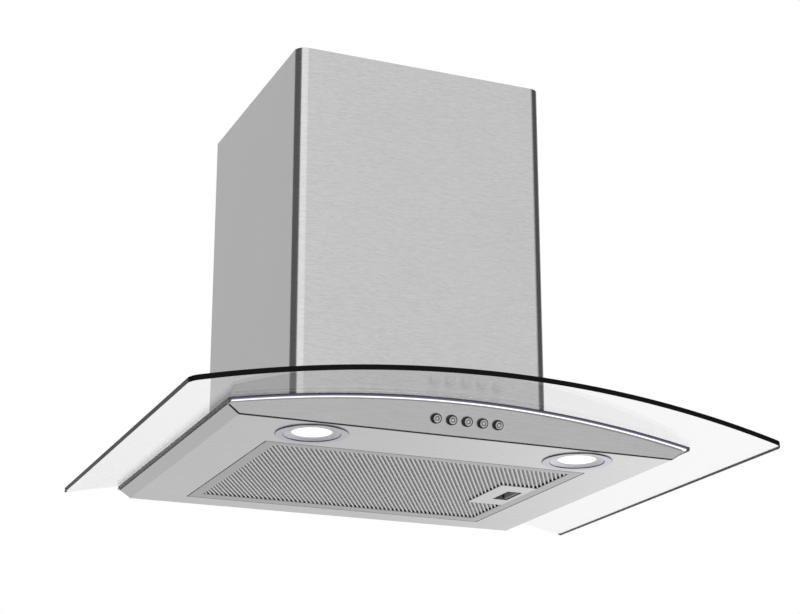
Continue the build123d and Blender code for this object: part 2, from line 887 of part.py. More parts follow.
# ---- impeller, shaft and motor ----
with BuildPart() as impeller:
    with BuildSketch(side_on(-wheel_width / 2)):
        with Locations((fan_y, fan_z)):
            with PolarLocations((wheel_radius + wheel_inner) / 2, blade_count):
                Rectangle(blade_chord, 1, rotation=blade_pitch)
    extrude(amount=wheel_width)
    for x in (-wheel_width / 2, wheel_width / 2 - 2):
        with BuildSketch(side_on(x)):
            with Locations((fan_y, fan_z)):
                Circle(wheel_radius)
                Circle(wheel_inner, mode=Mode.SUBTRACT)
        extrude(amount=2)
    with BuildSketch(side_on(-1)):
        with Locations((fan_y, fan_z)):
            Circle(wheel_radius)
    extrude(amount=2)
    with BuildSketch(side_on(-6)):
        with Locations((fan_y, fan_z)):
            Circle(wheel_hub)
    extrude(amount=14)
    with BuildSketch(side_on(-6)):
        with Locations((fan_y, fan_z)):
            Circle(shaft_radius)
    extrude(amount=14, mode=Mode.SUBTRACT)
impeller.part.label = "impeller"

with BuildPart() as motor_shaft:
    with BuildSketch(side_on(motor_left + 2)):
        with Locations((fan_y, fan_z)):
            Circle(shaft_radius)
    extrude(amount=8 - motor_left - 2)
    chamfer(motor_shaft.edges().filter_by(GeomType.CIRCLE), 0.5)
motor_shaft.part.label = "motor_shaft"

motor_axis = Axis(point(0, fan_y, fan_z), (1, 0, 0))
motor_right = motor_left + motor_length
with BuildPart() as motor:
    with BuildSketch(side_on(motor_left)):
        with Locations((fan_y, fan_z)):
            Circle(motor_radius)
    extrude(amount=motor_length)
    fillet(motor.edges().filter_by(GeomType.CIRCLE), 4)
    with BuildSketch(side_on(motor_left)):
        with Locations((fan_y, fan_z)):
            Circle(shaft_radius + 1)
    extrude(amount=motor_length, mode=Mode.SUBTRACT)
    for x in (motor_left, motor_right - bearing_width):
        with BuildSketch(side_on(x)):
            with Locations((fan_y, fan_z)):
                Circle(bearing_radius)
        extrude(amount=bearing_width, mode=Mode.SUBTRACT)
motor.part.label = "motor"

def fan_plane(x, y=0, z=0):
    """Plane square to the fan's axis, at an offset from it."""
    return Plane(origin=point(x, fan_y + y, fan_z + z), x_dir=(0, 1, 0), z_dir=(1, 0, 0))


bearing_planes = [fan_plane(motor_left), fan_plane(motor_right - bearing_width)]
motor_bearings = rings(
    bearing_planes, bearing_radius, shaft_radius + bearing_gap, bearing_width, "motor_bearings"
)

arm_x = scroll_left - grommet_height
arm_sheet = 2
mount_radius = scroll_inlet + mount_margin
arm_reach = mount_radius + arm_tip
arm_angles = [90, 210, 330]
arm_spots = [
    (mount_radius * cos(radians(a)), mount_radius * sin(radians(a))) for a in arm_angles
]
with BuildPart() as motor_bracket:
    with BuildSketch(fan_plane(arm_x - band_width)):
        Circle(motor_radius + band_thickness)
        Circle(motor_radius, mode=Mode.SUBTRACT)
    extrude(amount=band_width)
    with BuildSketch(fan_plane(arm_x - arm_sheet)):
        with PolarLocations((motor_radius + arm_reach) / 2, 3, start_angle=90):
            Rectangle(arm_reach - motor_radius, arm_width)
        Circle(motor_radius, mode=Mode.SUBTRACT)
        with Locations(*arm_spots):
            Circle(screw_radius + 0.2, mode=Mode.SUBTRACT)
    extrude(amount=arm_sheet)
motor_bracket.part.label = "motor_bracket"

grommet_planes = [fan_plane(arm_x, y, z) for y, z in arm_spots]
motor_grommets = rings(grommet_planes, grommet_radius, screw_radius + 0.1, grommet_height, "motor_grommets")

arm_planes = [
    Plane(origin=point(arm_x - arm_sheet, fan_y + y, fan_z + z), x_dir=(0, -1, 0), z_dir=(-1, 0, 0))
    for y, z in arm_spots
]
motor_screws = screws(arm_planes, screw_radius, arm_sheet + grommet_height, screw_head, 2.2, "motor_screws")

# ---- electrical parts in the housing ----
capacitor_radius = 14
capacitor_x = (scroll_width / 2 + housing_width / 2 - sheet) / 2
capacitor_y = -housing_depth + sheet + capacitor_radius + 1
with BuildPart() as capacitor:
    with BuildSketch(level(60)):
        with Locations((capacitor_x, capacitor_y)):
            Circle(capacitor_radius)
    extrude(amount=48)
    fillet(capacitor.edges().filter_by(GeomType.CIRCLE), 2)
capacitor.part.label = "capacitor"

with BuildPart() as capacitor_clip:
    with BuildSketch(level(76)):
        with Locations((capacitor_x, capacitor_y)):
            Circle(capacitor_radius + 1)
            with Locations((0, -capacitor_radius - 0.5)):
                Rectangle(2.6 * capacitor_radius, 1)
            Circle(capacitor_radius, mode=Mode.SUBTRACT)
    extrude(amount=14)
capacitor_clip.part.label = "capacitor_clip"

box_right = housing_width / 2 - sheet
box_width = 42
box_depth = 56
box_low = 186
box_tall = 46
box_x = box_right - box_width / 2
box_y = -sheet - box_depth / 2
with BuildPart() as terminal_box:
    with BuildSketch(level(box_low)):
        with Locations((box_x, box_y)):
            Rectangle(box_width, box_depth)
    extrude(amount=box_tall)
    with BuildSketch(level(box_low + 2)):
        with Locations((box_x, box_y)):
            Rectangle(box_width - 4, box_depth - 4)
    extrude(amount=box_tall, mode=Mode.SUBTRACT)
terminal_box.part.label = "terminal_box"

with BuildPart() as terminal_cover:
    with BuildSketch(level(box_low + box_tall)) as lid:
        with Locations((box_x, box_y)):
            Rectangle(box_width, box_depth)
        with Locations((gland_x, gland_y)):
            Circle(gland_bore + 1, mode=Mode.SUBTRACT)
    extrude(amount=2)
terminal_cover.part.label = "terminal_cover"

with BuildPart() as terminal_block:
    with BuildSketch(level(box_low + 2)):
        with Locations((box_x, box_y)):
            Rectangle(20, 38)
    extrude(amount=16)
    with BuildSketch(level(box_low + 18)):
        with Locations((box_x, box_y)):
            with GridLocations(10, 12, 2, 3):
                Circle(2)
    extrude(amount=-8, mode=Mode.SUBTRACT)
terminal_block.part.label = "terminal_block"

gland_top = housing_height + top_sheet
with BuildPart() as cable_gland:
    with BuildSketch(level(gland_top)):
        with Locations((gland_x, gland_y)):
            RegularPolygon(radius=gland_hex, side_count=6)
    extrude(amount=6)
    with BuildSketch(level(gland_top + 6)):
        with Locations((gland_x, gland_y)):
            Circle(gland_hex - 3)
    extrude(amount=7, taper=8)
    with BuildSketch(level(gland_top)):
        with Locations((gland_x, gland_y)):
            Circle(gland_thread)
    extrude(amount=-10)
    with BuildSketch(level(gland_top - top_sheet)):
        with Locations((gland_x, gland_y)):
            RegularPolygon(radius=gland_hex, side_count=6)
    extrude(amount=-5)
    with BuildSketch(level(gland_top - 10)):
        with Locations((gland_x, gland_y)):
            Circle(gland_bore)
    extrude(amount=23, mode=Mode.SUBTRACT)
cable_gland.part.label = "cable_gland"

# ---- outlet collar and damper ----
collar_base = housing_height + top_sheet
pin_z = collar_base + pin_height
ledge_z = pin_z - flap_sheet / 2
pin_axis = Plane(origin=point(-collar_outer, fan_y, pin_z), x_dir=(0, 1, 0), z_dir=(1, 0, 0))

with BuildPart() as outlet_collar:
    with BuildSketch(level(collar_base)):
        with Locations((0, fan_y)):
            Circle(collar_flange)
    extrude(amount=collar_flange_sheet)
    with BuildSketch(level(collar_base)):
        with Locations((0, fan_y)):
            Circle(collar_outer)
    extrude(amount=collar_height)
    with BuildSketch(level(collar_base)):
        with Locations((0, fan_y)):
            Circle(collar_bore)
        with Locations(*collar_bolt_spots):
            Circle(screw_radius + 0.2)
    extrude(amount=collar_height, mode=Mode.SUBTRACT)
    with BuildSketch(level(ledge_z)):
        with Locations((0, fan_y)):
            Circle(collar_bore)
            Circle(collar_bore - ledge_width, mode=Mode.SUBTRACT)
    extrude(amount=-ledge_height / 4)
    with BuildSketch(pin_axis):
        Circle(pin_radius)
    extrude(amount=2 * collar_outer, mode=Mode.SUBTRACT)
outlet_collar.part.label = "outlet_collar"

collar_planes = [
    Plane(origin=point(x, y, collar_base + collar_flange_sheet), z_dir=(0, 0, 1))
    for x, y in collar_bolt_spots
]
collar_screws = screws(collar_planes, screw_radius, 6, screw_head, screw_head_height, "collar_screws")

with BuildPart() as damper_pin:
    with BuildSketch(pin_axis):
        Circle(pin_radius)
    extrude(amount=2 * collar_outer)
damper_pin.part.label = "damper_pin"


flap_radius = collar_bore - flap_gap
knuckle_step = (collar_bore - ledge_width - knuckle_end) / 2
knuckle_length = knuckle_step - knuckle_gap


def damper_flap(side, starts, name):
    """A half-disc flap with two knuckles on the cross pin."""
    inner_edge = knuckle_radius + 0.4
    with BuildPart() as flap:
        with BuildSketch(level(pin_z - flap_sheet / 2)):
            with Locations((0, fan_y)):
                Circle(flap_radius)
                with Locations((0, side * (inner_edge + flap_radius / 2))):
                    Rectangle(2 * flap_radius, flap_radius, mode=Mode.INTERSECT)
            for start in starts:
                with Locations((start + knuckle_length / 2, fan_y + side * knuckle_radius)):
                    Rectangle(knuckle_length, 2 * knuckle_radius)
        extrude(amount=flap_sheet)
        for start in starts:
            with BuildSketch(fan_plane(start, 0, pin_z - fan_z)):
                Circle(knuckle_radius)
            extrude(amount=knuckle_length)
        with BuildSketch(pin_axis):
            Circle(pin_radius + pin_fit)
        extrude(amount=2 * collar_outer, mode=Mode.SUBTRACT)
    flap.part.label = name
    return flap.part


damper_flap_rear = damper_flap(1, [-knuckle_step, knuckle_gap], "damper_flap_rear")
damper_flap_front = damper_flap(
    -1, [-2 * knuckle_step, knuckle_step + knuckle_gap], "damper_flap_front"
)


# ---- chimney covers ----
def chimney_cover(width, front, back, corner, low, high):
    """A U-shaped cover of bent sheet with two lips at the wall."""
    with BuildPart() as cover:
        with BuildSketch(level(low)) as plan:
            with Locations((0, (front + back) / 2)):
                Rectangle(width, back - front)
            fillet(plan.vertices().group_by(Axis.Y)[0], corner)
            offset(amount=-sheet, mode=Mode.SUBTRACT)
            with Locations((0, back)):
                Rectangle(width - 2 * chimney_lip, 4 * sheet, mode=Mode.SUBTRACT)
        extrude(amount=high - low)
    return cover.part


lower_blank = chimney_cover(chimney_width, -chimney_depth, 0, chimney_bend, 0, chimney_top)
with BuildPart() as lower_chimney:
    add(lower_blank)
    under_arch(glass_thickness, Mode.SUBTRACT)
lower_chimney.part.label = "lower_chimney"

nest = sheet + chimney_gap
upper_front = -chimney_depth + nest
upper_back = -sheet - 0.6
upper_low = glass_rise + glass_thickness + chimney_lift
upper_top = chimney_top - chimney_inset
upper_width = chimney_width - 2 * nest
with BuildPart() as upper_chimney:
    add(chimney_cover(upper_width, upper_front, upper_back, chimney_bend - nest, upper_low, upper_top))
upper_chimney.part.label = "upper_chimney"

strap_low = upper_top - bracket_drop
strap_half = upper_width / 2 - sheet
strap_base = upper_width / 2 - chimney_lip - 1.5
with BuildPart() as chimney_bracket:
    with BuildSketch(level(strap_low)):
        with BuildLine():
            Polyline(
                (-strap_half + bracket_sheet / 2, -48),
                (-strap_half + bracket_sheet / 2, -14),
                (-strap_base, -14),
                (-strap_base, -bracket_sheet / 2),
                (strap_base, -bracket_sheet / 2),
                (strap_base, -14),
                (strap_half - bracket_sheet / 2, -14),
                (strap_half - bracket_sheet / 2, -48),
            )
        trace(line_width=bracket_sheet)
    extrude(amount=bracket_height)
    with BuildSketch(facing(0)):
        with Locations((0, strap_low + bracket_height / 2)):
            with GridLocations(bracket_spacing, 0, 2, 1):
                Circle(bracket_hole)
    extrude(amount=2 * bracket_sheet, mode=Mode.SUBTRACT)
chimney_bracket.part.label = "chimney_bracket"

# ---- internal leads ----
driver_left = driver_x - driver_length / 2
driver_right = driver_x + driver_length / 2
boss_face = lamp_x - collar_radius - 4.5
boss_z = 6 + (lamp_height - 6) / 2
driver_z = sheet + driver_height / 2 + 1

lamp_lead_left = lead(
    "lamp_lead_left",
    [
        point(-boss_face, lamp_y, boss_z),
        point(-boss_face + 4, lamp_y, boss_z),
        point(driver_left - 4, lamp_y - 4, driver_z),
        point(driver_left, lamp_y - 4, driver_z),
    ],
    [4, 4],
    lamp_lead_radius,
)
lamp_lead_right = lead(
    "lamp_lead_right",
    [
        point(driver_right, lamp_y, driver_z),
        point(driver_right + 14, lamp_y, driver_z),
        point(-8, lamp_y - 8, driver_z + 2),
        point(52, lamp_y - 7, driver_z + 3),
        point(boss_face - 14, lamp_y, boss_z),
        point(boss_face, lamp_y, boss_z),
    ],
    [25, 40, 40, 30],
    lamp_lead_radius,
)

switch_rear = fascia_back.offset(-switch_depth)
motor_start = switch_rear.from_local_coords((30, button_v, 0))
motor_lead = lead(
    "motor_lead",
    [
        motor_start,
        switch_rear.from_local_coords((30, button_v, -9)),
        point(36, -318, 20),
        point(60, -268, 19),
        point(box_x - 5, -222, 20),
        point(box_x, -160, 70),
        point(box_x, -80, 120),
        point(box_x, -40, 160),
        point(box_x, -40, box_low),
    ],
    [20, 30, 40, 30, 40, 60, 20],
    lead_radius,
)

# ---- export ----
finished = [
    glass_canopy.part,
    glass_screws,
    glass_washers,
    glass_spacers.part,
    glass_nuts.part,
    front_trim.part,
    side_seal_left,
    side_seal_right,
    rear_seal.part,
    body_shell.part,
    top_panel.part,
    fascia.part,
    *buttons,
    switch_block.part,
    *lamp_parts,
    lamp_clips.part,
    led_driver.part,
    filter_frame.part,
    filter_mesh,
    filter_mesh_back,
    filter_latch_plate.part,
    filter_latch.part,
    motor_housing.part,
    housing_top.part,
    housing_screws,
    base_screws,
    fan_scroll.part,
    impeller.part,
    motor_shaft.part,
    motor.part,
    motor_bearings,
    motor_bracket.part,
    motor_grommets,
    motor_screws,
    capacitor.part,
    capacitor_clip.part,
    terminal_box.part,
    terminal_cover.part,
    terminal_block.part,
    cable_gland.part,
    outlet_collar.part,
    collar_screws,
    damper_pin.part,
    damper_flap_front,
    damper_flap_rear,
    lower_chimney.part,
    upper_chimney.part,
    chimney_bracket.part,
    lamp_lead_left,
    lamp_lead_right,
    motor_lead,
]
for piece in finished:
    export_step(piece, f"parts/{piece.label}.step")
print(f"{len(finished)} pieces written")
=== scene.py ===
import json
import math
import random

import bmesh
import bpy
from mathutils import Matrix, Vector


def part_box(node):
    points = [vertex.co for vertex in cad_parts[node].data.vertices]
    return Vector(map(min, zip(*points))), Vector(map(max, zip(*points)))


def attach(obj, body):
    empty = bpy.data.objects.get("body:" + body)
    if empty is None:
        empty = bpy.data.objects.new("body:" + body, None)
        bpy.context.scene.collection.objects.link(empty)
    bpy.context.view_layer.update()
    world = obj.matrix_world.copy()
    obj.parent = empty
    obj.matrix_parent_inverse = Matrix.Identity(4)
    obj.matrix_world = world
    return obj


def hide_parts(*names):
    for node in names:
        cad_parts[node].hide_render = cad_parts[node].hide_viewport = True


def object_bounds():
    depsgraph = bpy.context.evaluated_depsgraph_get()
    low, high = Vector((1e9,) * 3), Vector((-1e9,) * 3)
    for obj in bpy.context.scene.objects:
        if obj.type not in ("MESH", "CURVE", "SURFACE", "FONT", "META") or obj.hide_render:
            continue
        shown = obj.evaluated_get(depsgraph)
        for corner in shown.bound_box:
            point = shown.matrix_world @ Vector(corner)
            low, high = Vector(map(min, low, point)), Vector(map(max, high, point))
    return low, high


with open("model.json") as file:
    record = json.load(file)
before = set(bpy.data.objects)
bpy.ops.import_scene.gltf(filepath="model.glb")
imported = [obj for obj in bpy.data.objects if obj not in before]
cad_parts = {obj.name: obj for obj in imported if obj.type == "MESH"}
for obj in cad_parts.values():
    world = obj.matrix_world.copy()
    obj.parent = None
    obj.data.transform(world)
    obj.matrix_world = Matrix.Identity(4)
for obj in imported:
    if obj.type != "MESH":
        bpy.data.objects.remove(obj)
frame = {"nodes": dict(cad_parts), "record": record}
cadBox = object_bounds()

nodes = frame["nodes"]
slotOf = {s["node"]: s["material_slot"] for s in frame["record"]["subparts"]}
print("frame loaded:", len(nodes), "nodes")


# the camera stands below the hood and to its left
camera = {
    "place": (-0.726, -1.9453, -0.5621),  # metres
    "turn": 22.8,  # degrees to the right
    "lookUp": 18.43,
    "lens": 83.5,
    "sensor": 36.0,
    "near": 0.02,
    "far": 60.0,
}


def makeCamera():
    data = bpy.data.cameras.new("camera")
    data.lens = camera["lens"]
    data.sensor_width = camera["sensor"]
    data.clip_start = camera["near"]
    data.clip_end = camera["far"]
    obj = bpy.data.objects.new("camera", data)
    obj.location = camera["place"]
    obj.rotation_euler = (math.radians(90 + camera["lookUp"]), 0, math.radians(-camera["turn"]))
    bpy.context.scene.collection.objects.link(obj)
    bpy.context.scene.camera = obj


makeCamera()
print("camera set")


# short ways to add and join shader nodes
def addNode(tree, kind, place=(0, 0), **settings):
    node = tree.nodes.new(kind)
    node.location = place
    for key, value in settings.items():
        setattr(node, key, value)
    return node


def setInputs(node, values):
    for key, value in values.items():
        node.inputs[key].default_value = value


def mathNode(tree, operation, a, b=None, c=None):
    node = addNode(tree, "ShaderNodeMath", operation=operation)
    for index, value in enumerate((a, b, c)):
        if value is None:
            continue
        if isinstance(value, (int, float)):
            node.inputs[index].default_value = value
        else:
            tree.links.new(value, node.inputs[index])
    return node.outputs[0]


def centred(tree, value):
    # moves a noise of 0 to 1 so that it lies around zero
    return mathNode(tree, "SUBTRACT", value, 0.5)


def objectPlace(tree, place=(-900, 300)):
    return addNode(tree, "ShaderNodeTexCoord", place).outputs["Object"]


def addNoise(tree, vector, values, place):
    noise = addNode(tree, "ShaderNodeTexNoise", place)
    setInputs(noise, values)
    tree.links.new(vector, noise.inputs["Vector"])
    return noise


def stretchedNoise(tree, vector, stretch, scale, detail, place):
    mapping = addNode(tree, "ShaderNodeVectorMath", place, operation="MULTIPLY")
    tree.links.new(vector, mapping.inputs[0])
    tree.links.new(stretch, mapping.inputs[1])
    values = {"Scale": scale, "Detail": detail, "Roughness": 0.6}
    return addNoise(tree, mapping.outputs[0], values, (place[0] + 200, place[1])).outputs["Fac"]


def fillRamp(ramp, stops):
    # each stop is a place from 0 to 1 and a colour
    elements = ramp.color_ramp.elements
    while len(elements) < len(stops):
        elements.new(0.5)
    for element, (place, colour) in zip(elements, stops):
        element.position = place
        element.color = colour


def grey(value, blue=0.0):
    return (value, value, value * (1 + blue), 1)


def newGroup(name, inputs, outputs):
    tree = bpy.data.node_groups.new(name, "ShaderNodeTree")
    for label, kind, value in inputs:
        socket = tree.interface.new_socket(name=label, in_out="INPUT", socket_type=kind)
        socket.default_value = value
    for label, kind in outputs:
        tree.interface.new_socket(name=label, in_out="OUTPUT", socket_type=kind)
    start = addNode(tree, "NodeGroupInput", (-900, 0))
    end = addNode(tree, "NodeGroupOutput", (700, 0))
    return tree, start, end


# what each finish gives: its colour, how rough it is and its relief
finishOutputs = [
    ("Color", "NodeSocketColor"),
    ("Roughness", "NodeSocketFloat"),
    ("Height", "NodeSocketFloat"),
]


def endFinish(tree, start, end, gain, rough, height):
    tint = addNode(tree, "ShaderNodeVectorMath", (300, 200), operation="SCALE")
    tree.links.new(start.outputs["Tone"], tint.inputs[0])
    tree.links.new(gain, tint.inputs["Scale"])
    tree.links.new(tint.outputs[0], end.inputs["Color"])
    tree.links.new(rough, end.inputs["Roughness"])
    tree.links.new(height, end.inputs["Height"])


brushing = {
    "fineScale": 3.1,
    "fineShare": 0.45,
    "coarseScale": 1.0,
    "coarseShare": 0.55,
    "hazeScale": 9,
    "haze": 0.05,
    "roughSpread": 0.18,
}


def makeGrainGroup():
    tree, start, end = newGroup(
        "brushedGrain",
        [
            ("Tone", "NodeSocketColor", (0.6, 0.6, 0.6, 1)),
            ("Stretch", "NodeSocketVector", (40, 700, 700)),
            ("Contrast", "NodeSocketFloat", 0.1),
            ("Roughness", "NodeSocketFloat", 0.32),
            ("Depth", "NodeSocketFloat", 0.5),
        ],
        finishOutputs,
    )
    where = objectPlace(tree)
    stretch = start.outputs["Stretch"]
    fine = stretchedNoise(tree, where, stretch, brushing["fineScale"], 2, (-600, 300))
    coarse = stretchedNoise(tree, where, stretch, brushing["coarseScale"], 3, (-600, 0))
    cloud = addNoise(tree, where, {"Scale": brushing["hazeScale"], "Detail": 2}, (-400, -300))
    fineLines = mathNode(tree, "MULTIPLY", fine, brushing["fineShare"])
    coarseLines = mathNode(tree, "MULTIPLY", coarse, brushing["coarseShare"])
    lines = mathNode(tree, "ADD", fineLines, coarseLines)
    uneven = centred(tree, lines)
    offset = mathNode(tree, "MULTIPLY", uneven, start.outputs["Contrast"])
    haze = mathNode(tree, "MULTIPLY", centred(tree, cloud.outputs["Fac"]), brushing["haze"])
    gain = mathNode(tree, "ADD", mathNode(tree, "ADD", offset, haze), 1.0)
    spread = mathNode(tree, "MULTIPLY", uneven, brushing["roughSpread"])
    rough = mathNode(tree, "ADD", start.outputs["Roughness"], spread)
    height = mathNode(tree, "MULTIPLY", lines, start.outputs["Depth"])
    endFinish(tree, start, end, gain, rough, height)
    return tree


moulding = {
    "grit": 0.2,
    "wearScale": 14,
    "wear": 0.25,
    "roughSpread": 0.2,
}


def makeMouldGroup():
    tree, start, end = newGroup(
        "mouldedSurface",
        [
            ("Tone", "NodeSocketColor", (0.1, 0.1, 0.1, 1)),
            ("Speckle", "NodeSocketFloat", 900.0),
            ("Roughness", "NodeSocketFloat", 0.5),
        ],
        finishOutputs,
    )
    where = objectPlace(tree)
    grit = addNoise(tree, where, {"Detail": 3, "Roughness": 0.7}, (-500, 200))
    tree.links.new(start.outputs["Speckle"], grit.inputs["Scale"])
    wear = addNoise(tree, where, {"Scale": moulding["wearScale"], "Detail": 4}, (-500, -200))
    worn = centred(tree, wear.outputs["Fac"])
    speckle = mathNode(tree, "MULTIPLY_ADD", centred(tree, grit.outputs["Fac"]), moulding["grit"], 1.0)
    gain = mathNode(tree, "MULTIPLY_ADD", worn, moulding["wear"], speckle)
    rough = mathNode(tree, "MULTIPLY_ADD", worn, moulding["roughSpread"], start.outputs["Roughness"])
    endFinish(tree, start, end, gain, rough, grit.outputs["Fac"])
    return tree


turning = {"ripple": 0.35, "roughSpread": 0.06}


def makeTurnedGroup():
    tree, start, end = newGroup(
        "turnedRings",
        [
            ("Centre", "NodeSocketVector", (0, 0, 0)),
            ("Tone", "NodeSocketColor", (0.6, 0.6, 0.6, 1)),
            ("Pitch", "NodeSocketFloat", 0.0006),
            ("Contrast", "NodeSocketFloat", 0.1),
            ("Grain", "NodeSocketFloat", 260.0),
            ("Roughness", "NodeSocketFloat", 0.25),
        ],
        finishOutputs,
    )
    where = objectPlace(tree)
    away = addNode(tree, "ShaderNodeVectorMath", (-700, 200), operation="DISTANCE")
    tree.links.new(where, away.inputs[0])
    tree.links.new(start.outputs["Centre"], away.inputs[1])
    turns = mathNode(tree, "DIVIDE", away.outputs["Value"], start.outputs["Pitch"])
    ripple = mathNode(tree, "SINE", mathNode(tree, "MULTIPLY", turns, 2 * math.pi))
    noise = addNoise(tree, where, {"Detail": 2}, (-500, -100))
    tree.links.new(start.outputs["Grain"], noise.inputs["Scale"])
    uneven = centred(tree, noise.outputs["Fac"])
    lines = mathNode(tree, "MULTIPLY_ADD", ripple, turning["ripple"], uneven)
    gain = mathNode(tree, "MULTIPLY_ADD", lines, start.outputs["Contrast"], 1.0)
    rough = mathNode(tree, "MULTIPLY_ADD", lines, turning["roughSpread"], start.outputs["Roughness"])
    endFinish(tree, start, end, gain, rough, ripple)
    return tree


spangling = {"roughSpread": 0.15}


def makeSpangleGroup():
    tree, start, end = newGroup(
        "zincSpangle",
        [
            ("Tone", "NodeSocketColor", (0.5, 0.52, 0.54, 1)),
            ("Size", "NodeSocketFloat", 90.0),
            ("Contrast", "NodeSocketFloat", 0.25),
            ("Roughness", "NodeSocketFloat", 0.42),
        ],
        finishOutputs,
    )
    flakes = addNode(tree, "ShaderNodeTexVoronoi", (-500, 200))
    tree.links.new(objectPlace(tree), flakes.inputs["Vector"])
    tree.links.new(start.outputs["Size"], flakes.inputs["Scale"])
    shade = addNode(tree, "ShaderNodeSeparateColor", (-300, 200))
    tree.links.new(flakes.outputs["Color"], shade.inputs[0])
    value = centred(tree, shade.outputs[0])
    gain = mathNode(tree, "MULTIPLY_ADD", value, start.outputs["Contrast"], 1.0)
    rough = mathNode(tree, "MULTIPLY_ADD", value, spangling["roughSpread"], start.outputs["Roughness"])
    endFinish(tree, start, end, gain, rough, flakes.outputs["Distance"])
    return tree


def makeFacingGroup():
    tree, start, end = newGroup(
        "facingMask",
        [
            ("Direction", "NodeSocketVector", (0, 0, 1)),
            ("Low", "NodeSocketFloat", 0.0),
            ("High", "NodeSocketFloat", 1.0),
        ],
        [("Mask", "NodeSocketFloat")],
    )
    facing = addNode(tree, "ShaderNodeNewGeometry", (-900, 300))
    along = addNode(tree, "ShaderNodeVectorMath", (-600, 200), operation="DOT_PRODUCT")
    tree.links.new(facing.outputs["Normal"], along.inputs[0])
    tree.links.new(start.outputs["Direction"], along.inputs[1])
    turn = addNode(tree, "ShaderNodeMapRange", (-300, 200))
    tree.links.new(along.outputs["Value"], turn.inputs["Value"])
    tree.links.new(start.outputs["Low"], turn.inputs["From Min"])
    tree.links.new(start.outputs["High"], turn.inputs["From Max"])
    tree.links.new(turn.outputs[0], end.inputs["Mask"])
    return tree


def makeReachGroup():
    tree, start, end = newGroup(
        "reachFromCentre",
        [("Centre", "NodeSocketVector", (0, 0, 0)), ("Stretch", "NodeSocketVector", (1, 1, 1))],
        [("Distance", "NodeSocketFloat")],
    )
    offset = addNode(tree, "ShaderNodeVectorMath", (-600, 200), operation="SUBTRACT")
    tree.links.new(objectPlace(tree), offset.inputs[0])
    tree.links.new(start.outputs["Centre"], offset.inputs[1])
    flatten = addNode(tree, "ShaderNodeVectorMath", (-400, 200), operation="MULTIPLY")
    tree.links.new(offset.outputs[0], flatten.inputs[0])
    tree.links.new(start.outputs["Stretch"], flatten.inputs[1])
    length = addNode(tree, "ShaderNodeVectorMath", (-200, 200), operation="LENGTH")
    tree.links.new(flatten.outputs[0], length.inputs[0])
    tree.links.new(length.outputs["Value"], end.inputs["Distance"])
    return tree


facingMask = makeFacingGroup()
reachFromCentre = makeReachGroup()
brushedGrain = makeGrainGroup()
mouldedSurface = makeMouldGroup()
turnedRings = makeTurnedGroup()
zincSpangle = makeSpangleGroup()


def groupMaterial(name, group, values, shader, bump=None):
    # bump is the strength and the distance of the relief
    mat = bpy.data.materials.new(name)
    mat.use_nodes = True
    tree = mat.node_tree
    surface = tree.nodes["Principled BSDF"]
    setInputs(surface, shader)
    effect = addNode(tree, "ShaderNodeGroup", (-400, 100), node_tree=group)
    setInputs(effect, values)
    tree.links.new(effect.outputs["Color"], surface.inputs["Base Color"])
    tree.links.new(effect.outputs["Roughness"], surface.inputs["Roughness"])
    if bump:
        relief = addNode(tree, "ShaderNodeBump", (-180, -200))
        setInputs(relief, {"Strength": bump[0], "Distance": bump[1]})
        tree.links.new(effect.outputs["Height"], relief.inputs["Height"])
        tree.links.new(relief.outputs["Normal"], surface.inputs["Normal"])
    return mat


metal = {"Metallic": 1.0}


def brushedMaterial(name, tone, stretch, contrast, roughness, depth, bump=None):
    values = {
        "Tone": tone,
        "Stretch": stretch,
        "Contrast": contrast,
        "Roughness": roughness,
        "Depth": depth,
    }
    return groupMaterial(name, brushedGrain, values, metal, bump)


def mouldedMaterial(name, tone, speckle, roughness, bump, shader=None):
    values = {"Tone": tone, "Speckle": speckle, "Roughness": roughness}
    return groupMaterial(name, mouldedSurface, values, shader or {}, bump)


def turnedMaterial(name, centre, tone, pitch, contrast, roughness, grain=260):
    values = {
        "Centre": centre,
        "Tone": tone,
        "Pitch": pitch,
        "Contrast": contrast,
        "Roughness": roughness,
        "Grain": grain,
    }
    return groupMaterial(name, turnedRings, values, metal, (0.05, 0.0002))


def addMask(tree, direction, low, high, place):
    mask = addNode(tree, "ShaderNodeGroup", place, node_tree=facingMask)
    setInputs(mask, {"Direction": direction, "Low": low, "High": high})
    return mask.outputs["Mask"]


def scaleColour(tree, factor):
    # dims the colour that the effect group gives by a factor that changes over the surface
    surface = tree.nodes["Principled BSDF"]
    colour = surface.inputs["Base Color"].links[0].from_socket
    tint = addNode(tree, "ShaderNodeVectorMath", (-150, 200), operation="SCALE")
    tree.links.new(colour, tint.inputs[0])
    tree.links.new(factor, tint.inputs["Scale"])
    tree.links.new(tint.outputs[0], surface.inputs["Base Color"])


def distanceFrom(tree, centre, stretch=(1, 1, 1)):
    # an axis that is stretched by 0 is left out of the distance
    reach = addNode(tree, "ShaderNodeGroup", (-700, -500), node_tree=reachFromCentre)
    setInputs(reach, {"Centre": centre, "Stretch": stretch})
    return reach.outputs["Distance"]


# sheet steel; a finish stretches little along the brushing and much across it
steelLook = {
    "tone": grey(0.58),
    "fasciaTone": (0.585, 0.575, 0.575, 1),
    "bump": 0.02,
    "bumpReach": 0.0004,
    "cutEdgeShade": 0.08,  # painted shade: how bright the shell's cut edge is left where it faces the fascia, standing in for the shadow in the gap
    "cutEdgeShadeTurn": (-0.9, -0.6),
}


def steelMaterial(name, tone, stretch, contrast, roughness, bump=steelLook["bump"]):
    relief = (bump, steelLook["bumpReach"])
    return brushedMaterial(name, tone, stretch, contrast, roughness, 1.0, relief)


def shellMaterial():
    # painted shade: faces of the shell that look towards the fascia are darkened to stand in for the
    # shadow in the gap behind it
    mat = steelMaterial("steelShell", steelLook["tone"], (30, 420, 420), 0.025, 0.27, 0.001)
    tree = mat.node_tree
    low, high = steelLook["cutEdgeShadeTurn"]
    unshadedFaces = addMask(tree, (0, 1, 0), low, high, (-700, -300))
    shadeTone = steelLook["cutEdgeShade"]
    scaleColour(tree, mathNode(tree, "MULTIPLY_ADD", unshadedFaces, 1 - shadeTone, shadeTone))
    return mat


